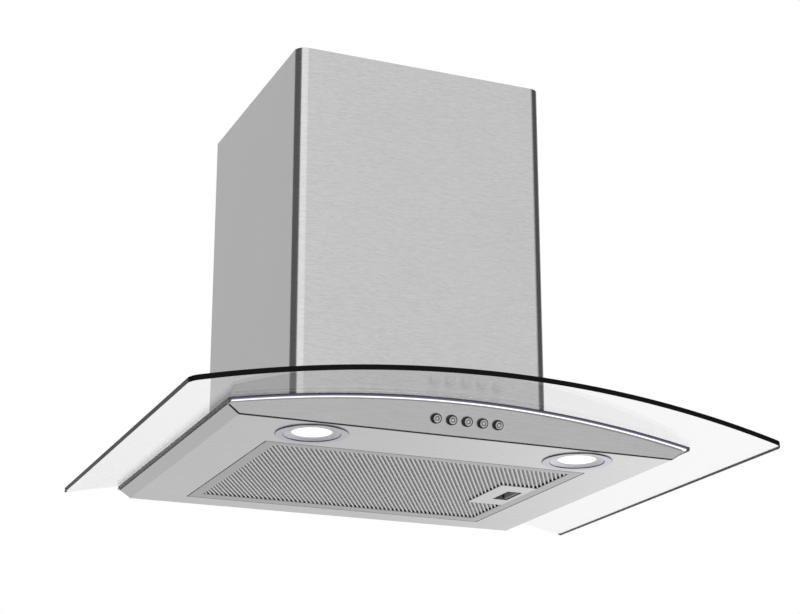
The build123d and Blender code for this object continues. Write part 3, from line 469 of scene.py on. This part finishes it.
upright = steelMaterial("steelUpright", steelLook["tone"], (120, 120, 1150), 0.62, 0.21)
flat = steelMaterial("steelFlat", steelLook["tone"], (45, 600, 600), 0.035, 0.27)
shellSteel = shellMaterial()
fasciaSteel = steelMaterial("steelFascia", steelLook["fasciaTone"], (45, 45, 650), 0.34, 0.25)
galvanised = groupMaterial("galvanisedSheet", zincSpangle, {"Size": 110.0}, metal)


# the glass is arched, and the trim under it follows the same circle
glassThickness = 0.005


def archCircle():
    # the circle of the glass underside, seen from the front: its radius and the height of its centre
    low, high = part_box("glass_canopy")
    rise = high.z - low.z - glassThickness
    radius = (high.x**2 + rise**2) / (2 * rise)
    return radius, low.z + rise - radius


# the front trim: a painted highlight as its lower band, a dark bluish painted reflection above it and a
# painted shade line under the glass
trimPaintedBands = {
    "height": 0.0035,
    "reflectionBands": [  # height above the trim's underside, tone, added blue
        (0.0, 1.0, 0.0),
        (0.00085, 1.0, 0.0),
        (0.0011, 0.2, 0.3),
        (0.0023, 0.18, 0.3),
        (0.0025, 0.06, 0.3),
    ],
}


def trimMaterial():
    mat = brushedMaterial("chromeTrimPaintedReflection", grey(1.0), (12, 300, 300), 0.04, 0.12, 0.2)
    tree = mat.node_tree
    surface = tree.nodes["Principled BSDF"]
    grain = surface.inputs["Base Color"].links[0].from_socket
    radius, centreZ = archCircle()
    # painted highlight and painted reflection: the trim's colour is set in bands by height above its
    # underside
    height = addNode(tree, "ShaderNodeMapRange", (-600, -300))
    setInputs(height, {"From Min": radius - trimPaintedBands["height"], "From Max": radius})
    tree.links.new(distanceFrom(tree, (0, 0, centreZ), (1, 0, 1)), height.inputs["Value"])
    paintedReflection = addNode(tree, "ShaderNodeValToRGB", (-450, -200))
    reflectionBands = [(up / trimPaintedBands["height"], grey(tone, blue)) for up, tone, blue in trimPaintedBands["reflectionBands"]]
    fillRamp(paintedReflection, reflectionBands)
    tree.links.new(height.outputs[0], paintedReflection.inputs[0])
    blend = addNode(tree, "ShaderNodeMix", (-150, 100), data_type="RGBA", blend_type="MULTIPLY")
    blend.inputs["Factor"].default_value = 1.0
    tree.links.new(grain, blend.inputs[6])
    tree.links.new(paintedReflection.outputs[0], blend.inputs[7])
    tree.links.new(blend.outputs[2], surface.inputs["Base Color"])
    return mat


chrome = trimMaterial()
# tone, speckle, roughness, relief
rubber = mouldedMaterial("sealRubber", grey(0.018), 1400.0, 0.5, (0.12, 0.0003))
stripRubber = mouldedMaterial("stripRubber", grey(0.075), 1400.0, 0.5, (0.12, 0.0003))
blackPlastic = mouldedMaterial("blackPlastic", grey(0.03), 1500.0, 0.45, (0.1, 0.0002))
latchPlastic = mouldedMaterial("latchPlastic", grey(0.2), 1500.0, 0.4, (0.1, 0.0002))
whitePlastic = mouldedMaterial("whitePlastic", grey(0.72), 1200.0, 0.4, (0.06, 0.0002))
fanPlastic = mouldedMaterial("fanPlastic", grey(0.045, 0.05), 900.0, 0.48, (0.12, 0.0003))
sheath = mouldedMaterial("leadSheath", grey(0.6), 1100.0, 0.5, (0.05, 0.0002))
lacquer = {"Coat Weight": 0.3}
enamel = mouldedMaterial("motorEnamel", grey(0.035, 0.1), 500.0, 0.35, (0.08, 0.0003), lacquer)
castMetal = mouldedMaterial("heatSink", grey(0.36), 700.0, 0.45, (0.15, 0.0004), metal)
# tone, stretch, contrast, roughness, depth, relief
aluminium = brushedMaterial(
    "filterAluminium", grey(0.485), (60, 500, 500), 0.14, 0.38, 0.6, (0.04, 0.0003)
)
meshMetal = brushedMaterial(
    "meshAluminium", grey(0.61), (180, 180, 400), 0.3, 0.36, 0.6, (0.05, 0.0003)
)
# painted shade: the rear mesh layer is given a dark tone to stand in for the shade between and below the
# crests
shadedBackMesh = brushedMaterial("innerMeshPaintedShade", grey(0.3), (260, 260, 260), 0.6, 0.55, 1.0, (0.3, 0.001))
springSteel = brushedMaterial("springSteel", grey(0.5), (200, 200, 200), 0.1, 0.25, 0.3)
screwLook = {"Tone": (0.62, 0.6, 0.55, 1), "Size": 500.0, "Contrast": 0.2, "Roughness": 0.3}
zinc = groupMaterial("zincScrews", zincSpangle, screwLook, metal)


# the lamp's pressed ring, with a painted shade line at its rim and at its step
ringLook = {
    "tone": grey(0.49, 0.1),
    "pitch": 0.0011,
    "contrast": 0.1,
    "roughness": 0.26,
    "outer": 0.0355,
    "outerShadeLine": 0.0007,
    "step": 0.0275,
    "stepShadeLine": 0.0004,
    "shadeLineTone": 0.2,
}


def bezelMaterial(name, centre):
    mat = turnedMaterial(
        name, centre, ringLook["tone"], ringLook["pitch"], ringLook["contrast"], ringLook["roughness"]
    )
    tree = mat.node_tree
    # painted shade: thin dark lines at the ring's rim and at its step stand in for the shade in these
    # bends
    reach = distanceFrom(tree, centre, (1, 1, 0))
    outer = mathNode(tree, "COMPARE", reach, ringLook["outer"], ringLook["outerShadeLine"])
    step = mathNode(tree, "COMPARE", reach, ringLook["step"], ringLook["stepShadeLine"])
    shadeLine = mathNode(tree, "MAXIMUM", outer, step)
    scaleColour(tree, mathNode(tree, "MULTIPLY_ADD", shadeLine, ringLook["shadeLineTone"] - 1, 1.0))
    return mat


# a button: turned metal in the dish, with painted shade on its rim and its side, the faces that do not
# look straight out of the fascia
buttonLook = {
    "tone": grey(0.44, 0.03),
    "pitch": 0.0026,
    "contrast": 1.9,
    "roughness": 0.3,
    "grain": 700,
    "shadeTone": 0.06,
    "shadeTurnLow": 0.86,
    "shadeTurnHigh": 0.985,
    "faceReach": 0.0031,
    "rim": 0.001,
}


def buttonMaterial(name, centre, square):
    look = buttonLook
    mat = turnedMaterial(
        name, centre, look["tone"], look["pitch"], look["contrast"], look["roughness"], look["grain"]
    )
    tree = mat.node_tree
    # painted shade: the side, and the rim beyond the dish, are darkened to the shade tone
    turn = addMask(tree, square, look["shadeTurnLow"], look["shadeTurnHigh"], (-700, -200))
    reach = addNode(tree, "ShaderNodeMapRange", (-500, -500))
    setInputs(reach, {"From Min": look["faceReach"], "From Max": look["faceReach"] + look["rim"]})
    setInputs(reach, {"To Min": 1.0, "To Max": 0.0})
    tree.links.new(distanceFrom(tree, centre), reach.inputs["Value"])
    face = mathNode(tree, "MULTIPLY", turn, reach.outputs[0])
    scaleColour(tree, mathNode(tree, "MULTIPLY_ADD", face, 1 - look["shadeTone"], look["shadeTone"]))
    return mat


# the frosted disc is bright in its middle and fades towards the ring
lampGlow = {
    "colour": (1.0, 0.99, 0.965),
    "strength": 0.85,
    "bright": 0.0176,
    "faded": 0.0207,
    "fadedGlow": 0.1,
}


def glowMaterial(name, centre):
    values = {"Centre": centre, "Tone": grey(0.6), "Pitch": 0.002, "Contrast": 0.03, "Roughness": 0.35}
    mat = groupMaterial(name, turnedRings, values, {"Emission Strength": lampGlow["strength"]})
    tree = mat.node_tree
    fade = addNode(tree, "ShaderNodeMapRange", (-500, -300))
    setInputs(fade, {"From Min": lampGlow["bright"], "From Max": lampGlow["faded"]})
    setInputs(fade, {"To Min": 1.0, "To Max": lampGlow["fadedGlow"]})
    tree.links.new(distanceFrom(tree, centre), fade.inputs["Value"])
    tint = addNode(tree, "ShaderNodeVectorMath", (-300, -300), operation="SCALE")
    tint.inputs[0].default_value = lampGlow["colour"]
    tree.links.new(fade.outputs[0], tint.inputs["Scale"])
    tree.links.new(tint.outputs[0], tree.nodes["Principled BSDF"].inputs["Emission Color"])
    return mat


slotLook = {
    "brushed_steel": upright,
    "galvanised": galvanised,
    "bright_trim": chrome,
    "seal_rubber": rubber,
    "filter_aluminium": aluminium,
    "latch_steel": flat,
    "latch_plastic": latchPlastic,
    "heat_sink": castMetal,
    "spring_steel": springSteel,
    "black_plastic": blackPlastic,
    "white_plastic": whitePlastic,
    "fan_plastic": fanPlastic,
    "motor_enamel": enamel,
    "zinc_screws": zinc,
    "lead_sheath": sheath,
}
nodeLook = {
    "body_shell": shellSteel,
    "fascia": fasciaSteel,
    "side_seal_left": stripRubber,
    "side_seal_right": stripRubber,
    "filter_mesh_back": shadedBackMesh,
}


def paint(obj, mat):
    if not obj.data.materials:
        obj.data.materials.append(mat)
    for index in range(len(obj.data.materials)):
        obj.data.materials[index] = mat


def middle(name):
    low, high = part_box(name)
    return (low + high) / 2


def fasciaNormal():
    # the fascia leans, and its front face is the largest one that faces the room
    faces = [f for f in nodes["fascia"].data.polygons if f.normal.y < -0.5]
    return max(faces, key=lambda f: f.area).normal.copy()


def buttonFace(name):
    normal = fasciaNormal()
    centre = middle(name)
    reach = max((v.co - centre).dot(normal) for v in nodes[name].data.vertices)
    return centre + normal * reach


def paintNodes():
    for name, obj in nodes.items():
        if name.startswith("lamp_bezel"):
            paint(obj, bezelMaterial(name + "_finish", middle(name)))
        elif name.startswith("lamp_lens"):
            paint(obj, glowMaterial(name + "_finish", middle(name)))
        elif name.startswith("button"):
            paint(obj, buttonMaterial(name + "_finish", buttonFace(name), fasciaNormal()))
        elif name in nodeLook:
            paint(obj, nodeLook[name])
        elif slotOf[name] in slotLook:
            paint(obj, slotLook[slotOf[name]])


paintNodes()
print("finishes on the fixed parts")


# the glass is made anew, with more rows than the plain one, a bevelled rim and a front edge painted near
# black as shade
glass = {
    "bulge": 0.013,  # how far the front edge bows out
    "corner": 0.008,
    "cornerSteps": 8,
    "notchGap": 0.004,  # between the blower housing and the cut-out at the back
    "edgeRound": 0.0007,
    "columns": 64,
    "frontRows": 14,
    "backRows": 10,
    "tint": (0.99, 0.992, 0.992, 1),
    "smear": (0.975, 0.98, 0.98, 1),
    "smearScale": 5.0,
    "ior": 1.2,
    "rimAngle": 50,  # degrees; sharper edges than this are bevelled
    "sharpAngle": 20,  # degrees, so that the bevel does not shade the flat faces
    "rimSlope": 0.9,  # faces that look less far up or down than this belong to the rim
    "frontShare": 0.8,  # how far back the painted shade of the front edge goes, as a share of the corner
    "sideReach": 0.002,
    # painted shade: the front edge face is near black and the side edge faces dark grey, standing in for
    # the dark that the glass's edges show
    "frontEdge": ("glassEdgeFrontShade", 0.004, 0.6),  # tone, roughness
    "sideEdge": ("glassEdgeSideShade", 0.05, 0.4),
}


def glassPlan():
    # half the width, and the radius and the centre of the bowed front edge
    low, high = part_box("glass_canopy")
    half = high.x
    bowRadius = (half**2 + glass["bulge"] ** 2) / (2 * glass["bulge"])
    return half, bowRadius, low.y + bowRadius


def frontEdge(x):
    half, bowRadius, bowCentre = glassPlan()
    corner = glass["corner"]
    inner = half - corner
    if abs(x) <= inner:
        return bowCentre - math.sqrt(bowRadius**2 - x**2)
    # the corner arc touches the side edge and the bowed front edge
    centreY = bowCentre - math.sqrt((bowRadius - corner) ** 2 - inner**2)
    return centreY - math.sqrt(max(corner**2 - (abs(x) - inner) ** 2, 0))


def archHeight(x, lift):
    radius, centreZ = archCircle()
    return centreZ + math.sqrt((radius + lift) ** 2 - x**2)


def glassColumns(notchHalf):
    inner = glassPlan()[0] - glass["corner"]
    count = glass["columns"]
    steps = glass["cornerSteps"]
    xs = {round(inner * (2 * i / count - 1), 6) for i in range(count + 1)}
    for i in range(1, steps + 1):
        x = round(inner + glass["corner"] * math.sin(math.radians(90 * i / steps)), 6)
        xs.update((x, -x))
    # a column that comes close to the cut-out's side gives way to one that lies on it
    xs = {x for x in xs if abs(abs(x) - notchHalf) >= glass["notchGap"]}
    return sorted(xs | {notchHalf, -notchHalf})


def glassSheet(mesh, xs, lift, notchHalf, notchBack):
    grid = []
    frontRows = glass["frontRows"]
    backRows = glass["backRows"]
    for x in xs:
        z = archHeight(x, lift)
        front = frontEdge(x)
        ys = [front + (notchBack - front) * j / frontRows for j in range(frontRows + 1)]
        if abs(x) >= notchHalf - 1e-6:
            ys += [notchBack * (1 - j / backRows) for j in range(1, backRows + 1)]
        grid.append([mesh.verts.new((x, y, z)) for y in ys])
    return grid


def sheetFaces(mesh, grid, faceUp):
    for left, right in zip(grid, grid[1:]):
        for j in range(min(len(left), len(right)) - 1):
            quad = [left[j], right[j], right[j + 1], left[j + 1]]
            mesh.faces.new(quad if faceUp else quad[::-1])


def makeGlassMesh():
    houseLow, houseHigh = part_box("motor_housing")
    notchHalf = round(houseHigh.x + glass["notchGap"], 6)
    notchBack = houseLow.y - glass["notchGap"]
    xs = glassColumns(notchHalf)
    mesh = bmesh.new()
    bottom = glassSheet(mesh, xs, 0, notchHalf, notchBack)
    top = glassSheet(mesh, xs, glassThickness, notchHalf, notchBack)
    sheetFaces(mesh, bottom, False)
    sheetFaces(mesh, top, True)
    above = {}
    for low, high in zip(bottom, top):
        above.update(zip(low, high))
    rim = [(e.verts[0], e.verts[1]) for e in mesh.edges if len(e.link_faces) == 1]
    for a, b in rim:
        if a in above and b in above:
            mesh.faces.new((a, b, above[b], above[a]))
    bmesh.ops.recalc_face_normals(mesh, faces=mesh.faces)
    mesh.normal_update()
    bend = math.radians(glass["rimAngle"])
    sharp = [e for e in mesh.edges if len(e.link_faces) == 2 and e.calc_face_angle(0) > bend]
    bmesh.ops.bevel(
        mesh,
        geom=sharp,
        offset=glass["edgeRound"],
        segments=2,
        profile=0.5,
        affect="EDGES",
        clamp_overlap=True,
    )
    bmesh.ops.recalc_face_normals(mesh, faces=mesh.faces)
    return mesh


def clearGlass():
    mat = bpy.data.materials.new("clearGlass")
    mat.use_nodes = True
    tree = mat.node_tree
    surface = tree.nodes["Principled BSDF"]
    setInputs(surface, {"Transmission Weight": 1.0, "IOR": glass["ior"], "Metallic": 0.0})
    setInputs(surface, {"Roughness": 0.0})
    where = objectPlace(tree, (-800, 300))
    film = addNoise(tree, where, {"Scale": glass["smearScale"], "Detail": 3.0}, (-600, 300))
    tint = addNode(tree, "ShaderNodeMix", (-300, 300), data_type="RGBA")
    tint.inputs[6].default_value = glass["smear"]
    tint.inputs[7].default_value = glass["tint"]
    tree.links.new(film.outputs["Fac"], tint.inputs["Factor"])
    tree.links.new(tint.outputs[2], surface.inputs["Base Color"])
    return mat


def edgeMaterial(name, tone, roughness):
    dull = {"Specular IOR Level": 0.08}
    return mouldedMaterial(name, grey(tone), 1800.0, roughness, (0.06, 0.0002), dull)


def edgeSlot(face, half):
    # 0 is the clear glass, 1 the front edge painted near black as shade and 2 the side edge painted dark
    # grey as shade
    if abs(face.normal.z) >= glass["rimSlope"]:
        return 0
    centre = face.calc_center_median()
    inner = half - glass["corner"]
    front = frontEdge(min(max(centre.x, -inner), inner))
    if centre.y < front + glass["corner"] * glass["frontShare"]:
        return 1
    return 2 if abs(centre.x) > half - glass["sideReach"] else 0


def makeGlass():
    mesh = makeGlassMesh()
    half = glassPlan()[0]
    data = bpy.data.meshes.new("glassCanopy")
    for mat in (clearGlass(), edgeMaterial(*glass["frontEdge"]), edgeMaterial(*glass["sideEdge"])):
        data.materials.append(mat)
    for face in mesh.faces:
        face.smooth = True
        face.material_index = edgeSlot(face, half)
    mesh.to_mesh(data)
    mesh.free()
    obj = bpy.data.objects.new("glassCanopy", data)
    bpy.context.scene.collection.objects.link(obj)
    obj.data.set_sharp_from_angle(angle=math.radians(glass["sharpAngle"]))
    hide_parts("glass_canopy")
    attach(obj, "hood_body")


makeGlass()
print("glass canopy made")


# expanded metal: slanted flat crests with short strands bridging them
weave = {
    "angle": 60.0,  # degrees from +X towards +Y
    "pitch": 0.00435,
    "ridge": 0.0017,
    "lift": 0.0003,  # crest above the face of the frame, and its shoulder above the crest
    "crestShare": 0.7,  # how wide the crest, the shoulder and the foot are, as shares of the ridge
    "shoulderShare": 1.1,
    "footShare": 1.3,
    "shortest": 0.0005,  # a shorter run of crest beside the latch plate is left out
    "strandPitch": 0.0026,
    "strandWidth": 0.0008,
    "strandDeep": 0.0005,
    "strandTaper": 0.6,
    "strandReach": 0.0002,  # how far a strand runs in under the crests
    "strandSlant": (0.0004, 0.0008),
    "borderSide": 0.012,
    "borderFront": 0.011,
    "borderRear": 0.0165,
    "play": 0.0002,
    "seed": 7,
}
farAway = 10.0  # metres, past the end of any crest


def clipLine(origin, direction, low, high):
    # the stretch of a line that lies inside a rectangle, or nothing
    start, end = -farAway, farAway
    for axis in (0, 1):
        if abs(direction[axis]) < 1e-9:
            if not low[axis] <= origin[axis] <= high[axis]:
                return None
            continue
        a = (low[axis] - origin[axis]) / direction[axis]
        b = (high[axis] - origin[axis]) / direction[axis]
        start, end = max(start, min(a, b)), min(end, max(a, b))
    return (start, end) if end - start > 1e-4 else None


def meshRuns(origin, direction, window, hole):
    whole = clipLine(origin, direction, *window)
    if whole is None:
        return []
    cut = clipLine(origin, direction, *hole)
    if cut is None or cut[1] <= whole[0] or cut[0] >= whole[1]:
        return [whole]
    runs = [(whole[0], max(whole[0], cut[0])), (min(whole[1], cut[1]), whole[1])]
    return [r for r in runs if r[1] - r[0] > weave["shortest"]]


def addBar(target, start, end, side, profile):
    # a closed bar between two places; its profile is pairs of sideways place and height
    rings = []
    for place in (start, end):
        corners = [place + side * across + Vector((0, 0, up)) for across, up in profile]
        rings.append([target.verts.new(corner) for corner in corners])
    count = len(profile)
    for i in range(count):
        j = (i + 1) % count
        target.faces.new((rings[0][i], rings[0][j], rings[1][j], rings[1][i]))
    target.faces.new(rings[0][::-1])
    target.faces.new(rings[1])


def inside(spot, area):
    low, high = area
    return low.x < spot.x < high.x and low.y < spot.y < high.y


def strandProfile(top):
    half = weave["strandWidth"] / 2
    thin = half * weave["strandTaper"]
    low = top - weave["strandDeep"]
    return [(-half, top), (-thin, low), (thin, low), (half, top)]


def ridgeProfile(crest, top):
    half = weave["ridge"] / 2
    foot = half * weave["footShare"]
    shoulder = half * weave["shoulderShare"]
    face = half * weave["crestShare"]
    bend = crest + weave["lift"]
    return [(-foot, top), (-shoulder, bend), (-face, crest), (face, crest), (shoulder, bend), (foot, top)]


def addStrands(target, origin, along, side, top, window, hole):
    reach = (weave["pitch"] - weave["ridge"]) / 2 + weave["strandReach"]
    profile = strandProfile(top)
    for start, end in meshRuns(origin, along, window, hole):
        for i in range(int((end - start) / weave["strandPitch"])):
            spot = origin + along * (start + (i + 0.5) * weave["strandPitch"])
            a = spot - side * reach - along * random.uniform(*weave["strandSlant"])
            b = spot + side * reach + along * random.uniform(*weave["strandSlant"])
            if inside(a, window) and inside(b, window) and not inside(a, hole) and not inside(b, hole):
                addBar(target, a, b, along, profile)


def meshWindow():
    # the opening of the frame, less its borders
    low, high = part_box("filter_frame")
    side = weave["borderSide"] + weave["play"]
    return (
        Vector((low.x + side, low.y + weave["borderFront"] + weave["play"], 0)),
        Vector((high.x - side, high.y - weave["borderRear"] - weave["play"], 0)),
    )


def latchHole():
    low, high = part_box("filter_latch_plate")
    play = weave["play"]
    return Vector((low.x - play, low.y - play, 0)), Vector((high.x + play, high.y + play, 0))


def makeFilterMesh():
    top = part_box("filter_mesh")[1].z
    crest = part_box("filter_frame")[0].z + weave["lift"]
    window = meshWindow()
    hole = latchHole()
    turn = math.radians(weave["angle"])
    along = Vector((math.cos(turn), math.sin(turn), 0))
    side = Vector((-math.sin(turn), math.cos(turn), 0))
    centre = (window[0] + window[1]) / 2
    reach = abs(window[1].x - centre.x) * abs(side.x) + abs(window[1].y - centre.y) * abs(side.y)
    count = int(reach / weave["pitch"]) + 1
    ridge = ridgeProfile(crest, top)
    target = bmesh.new()
    random.seed(weave["seed"])
    for k in range(-count, count + 1):
        origin = centre + side * (k * weave["pitch"])
        for start, end in meshRuns(origin, along, window, hole):
            addBar(target, origin + along * start, origin + along * end, side, ridge)
        between = origin + side * (weave["pitch"] / 2)
        addStrands(target, between, along, side, top, window, hole)
    bmesh.ops.recalc_face_normals(target, faces=target.faces)
    data = bpy.data.meshes.new("filterMesh")
    target.to_mesh(data)
    target.free()
    data.materials.append(meshMetal)
    obj = bpy.data.objects.new("filterMesh", data)
    bpy.context.scene.collection.objects.link(obj)
    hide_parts("filter_mesh")
    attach(obj, "grease_filter")


makeFilterMesh()
print("filter mesh made")


studio = {
    "floorDrop": 1.45,  # metres from the lowest part of the hood to the floor
    "floorHalf": 12,
    "floorTone": 0.82,
    "backdrop": 1.0,
    "inGlass": 0.6,
    "horizon": (-0.12, 0.06),  # heights between which the lower ring turns into the upper one
    "overhead": (0.6, 0.9, 0.9),  # from this height to this one it turns into this strength
    "below": [(-0.66, -0.54, 0.4), (-0.9, -0.84, 1.3), (-0.995, -0.975, 0.12)],  # the same, downwards
    "keyPlace": (-1.6, -1.2, 2.6),
    "keyTarget": (0, -0.2, 0.1),
    "keySize": 1.6,
    "keyPower": 6.0,
}


def makeFloor():
    level = cadBox[0][2] - studio["floorDrop"]
    size = studio["floorHalf"]
    corners = [(-size, -size, level), (size, -size, level), (size, size, level), (-size, size, level)]
    data = bpy.data.meshes.new("floor")
    data.from_pydata(corners, [], [(0, 1, 2, 3)])
    obj = bpy.data.objects.new("floor", data)
    bpy.context.scene.collection.objects.link(obj)
    finish = {
        "Tone": grey(studio["floorTone"]),
        "Stretch": (6, 6, 6),
        "Contrast": 0.02,
        "Roughness": 0.7,
        "Depth": 0.0,
    }
    paint(obj, groupMaterial("paleFloor", brushedGrain, finish, {}))
    obj.visible_glossy = False


# brightness of the studio around the horizon: degrees from +X towards +Y, strength
upperRing = [
    (-180, 0.12),
    (-142, 0.12),
    (-136, 1.25),
    (-78, 1.22),
    (-74, 0.93),
    (-52, 0.93),
    (-46, 0.1),
    (15, 0.1),
    (32, 0.62),
    (112, 0.64),
    (132, 0.68),
    (142, 0.12),
    (180, 0.12),
]
lowerRing = [
    (-180, 0.6),
    (-120, 0.78),
    (-60, 0.78),
    (-20, 0.85),
    (20, 1.1),
    (42, 1.32),
    (57, 1.25),
    (67, 0.84),
    (76, 0.8),
    (100, 0.73),
    (140, 0.66),
    (180, 0.58),
]


def ringRamp(tree, around, stops, place):
    ramp = addNode(tree, "ShaderNodeValToRGB", place)
    fillRamp(ramp, [((degrees + 180) / 360, grey(strength)) for degrees, strength in stops])
    tree.links.new(around, ramp.inputs[0])
    return ramp.outputs[0]


def blendOver(tree, value, low, high, first, second):
    step = addNode(tree, "ShaderNodeMapRange", interpolation_type="SMOOTHSTEP")
    setInputs(step, {"From Min": low, "From Max": high, "To Min": 0.0, "To Max": 1.0})
    tree.links.new(value, step.inputs["Value"])
    mix = addNode(tree, "ShaderNodeMix", data_type="RGBA")
    tree.links.new(step.outputs[0], mix.inputs["Factor"])
    for index, colour in ((6, first), (7, second)):
        if isinstance(colour, (int, float)):
            mix.inputs[index].default_value = grey(colour)
        else:
            tree.links.new(colour, mix.inputs[index])
    return mix.outputs[2]


def studioRing(tree):
    coords = addNode(tree, "ShaderNodeTexCoord", (-900, 0))
    split = addNode(tree, "ShaderNodeSeparateXYZ", (-700, 0))
    tree.links.new(coords.outputs["Generated"], split.inputs[0])
    x, y, z = split.outputs
    turn = mathNode(tree, "ARCTAN2", y, x)
    around = mathNode(tree, "MULTIPLY_ADD", turn, 1 / (2 * math.pi), 0.5)
    upper = ringRamp(tree, around, upperRing, (-300, 200))
    lower = ringRamp(tree, around, lowerRing, (-300, -100))
    ring = blendOver(tree, z, *studio["horizon"], lower, upper)
    low, high, strength = studio["overhead"]
    ring = blendOver(tree, z, low, high, ring, strength)
    for low, high, strength in studio["below"]:
        ring = blendOver(tree, z, low, high, strength, ring)
    return ring


def makeWorld():
    world = bpy.data.worlds.new("studio")
    bpy.context.scene.world = world
    world.use_nodes = True
    tree = world.node_tree
    tree.nodes.clear()
    out = addNode(tree, "ShaderNodeOutputWorld", (900, 0))
    shaped = addNode(tree, "ShaderNodeBackground", (400, 100))
    plain = addNode(tree, "ShaderNodeBackground", (400, -100))
    plain.inputs["Color"].default_value = grey(studio["backdrop"])
    path = addNode(tree, "ShaderNodeLightPath", (400, 400))
    # clear glass mirrors a dimmer room than the metal does, and what is seen through it stays plain
    dim = addNode(tree, "ShaderNodeMix", (300, 300), data_type="RGBA")
    dim.inputs[7].default_value = grey(studio["inGlass"])
    tree.links.new(path.outputs["Is Singular Ray"], dim.inputs["Factor"])
    tree.links.new(studioRing(tree), dim.inputs[6])
    tree.links.new(dim.outputs[2], shaped.inputs["Color"])
    mirrored = mathNode(
        tree, "SUBTRACT", path.outputs["Is Glossy Ray"], path.outputs["Is Transmission Ray"]
    )
    mix = addNode(tree, "ShaderNodeMixShader", (650, 0))
    tree.links.new(mirrored, mix.inputs[0])
    tree.links.new(plain.outputs[0], mix.inputs[1])
    tree.links.new(shaped.outputs[0], mix.inputs[2])
    tree.links.new(mix.outputs[0], out.inputs[0])


def makeKeyLight():
    data = bpy.data.lights.new("keyLight", "AREA")
    data.shape = "RECTANGLE"
    data.size = studio["keySize"]
    data.size_y = studio["keySize"]
    data.energy = studio["keyPower"]
    obj = bpy.data.objects.new("keyLight", data)
    obj.location = studio["keyPlace"]
    aim = Vector(studio["keyTarget"]) - Vector(studio["keyPlace"])
    obj.rotation_euler = aim.to_track_quat("-Z", "Y").to_euler()
    obj.visible_camera = False
    obj.visible_glossy = False
    obj.visible_transmission = False
    bpy.context.scene.collection.objects.link(obj)


makeFloor()
makeWorld()
makeKeyLight()
bpy.context.scene.view_settings.view_transform = "Standard"
print("studio set")
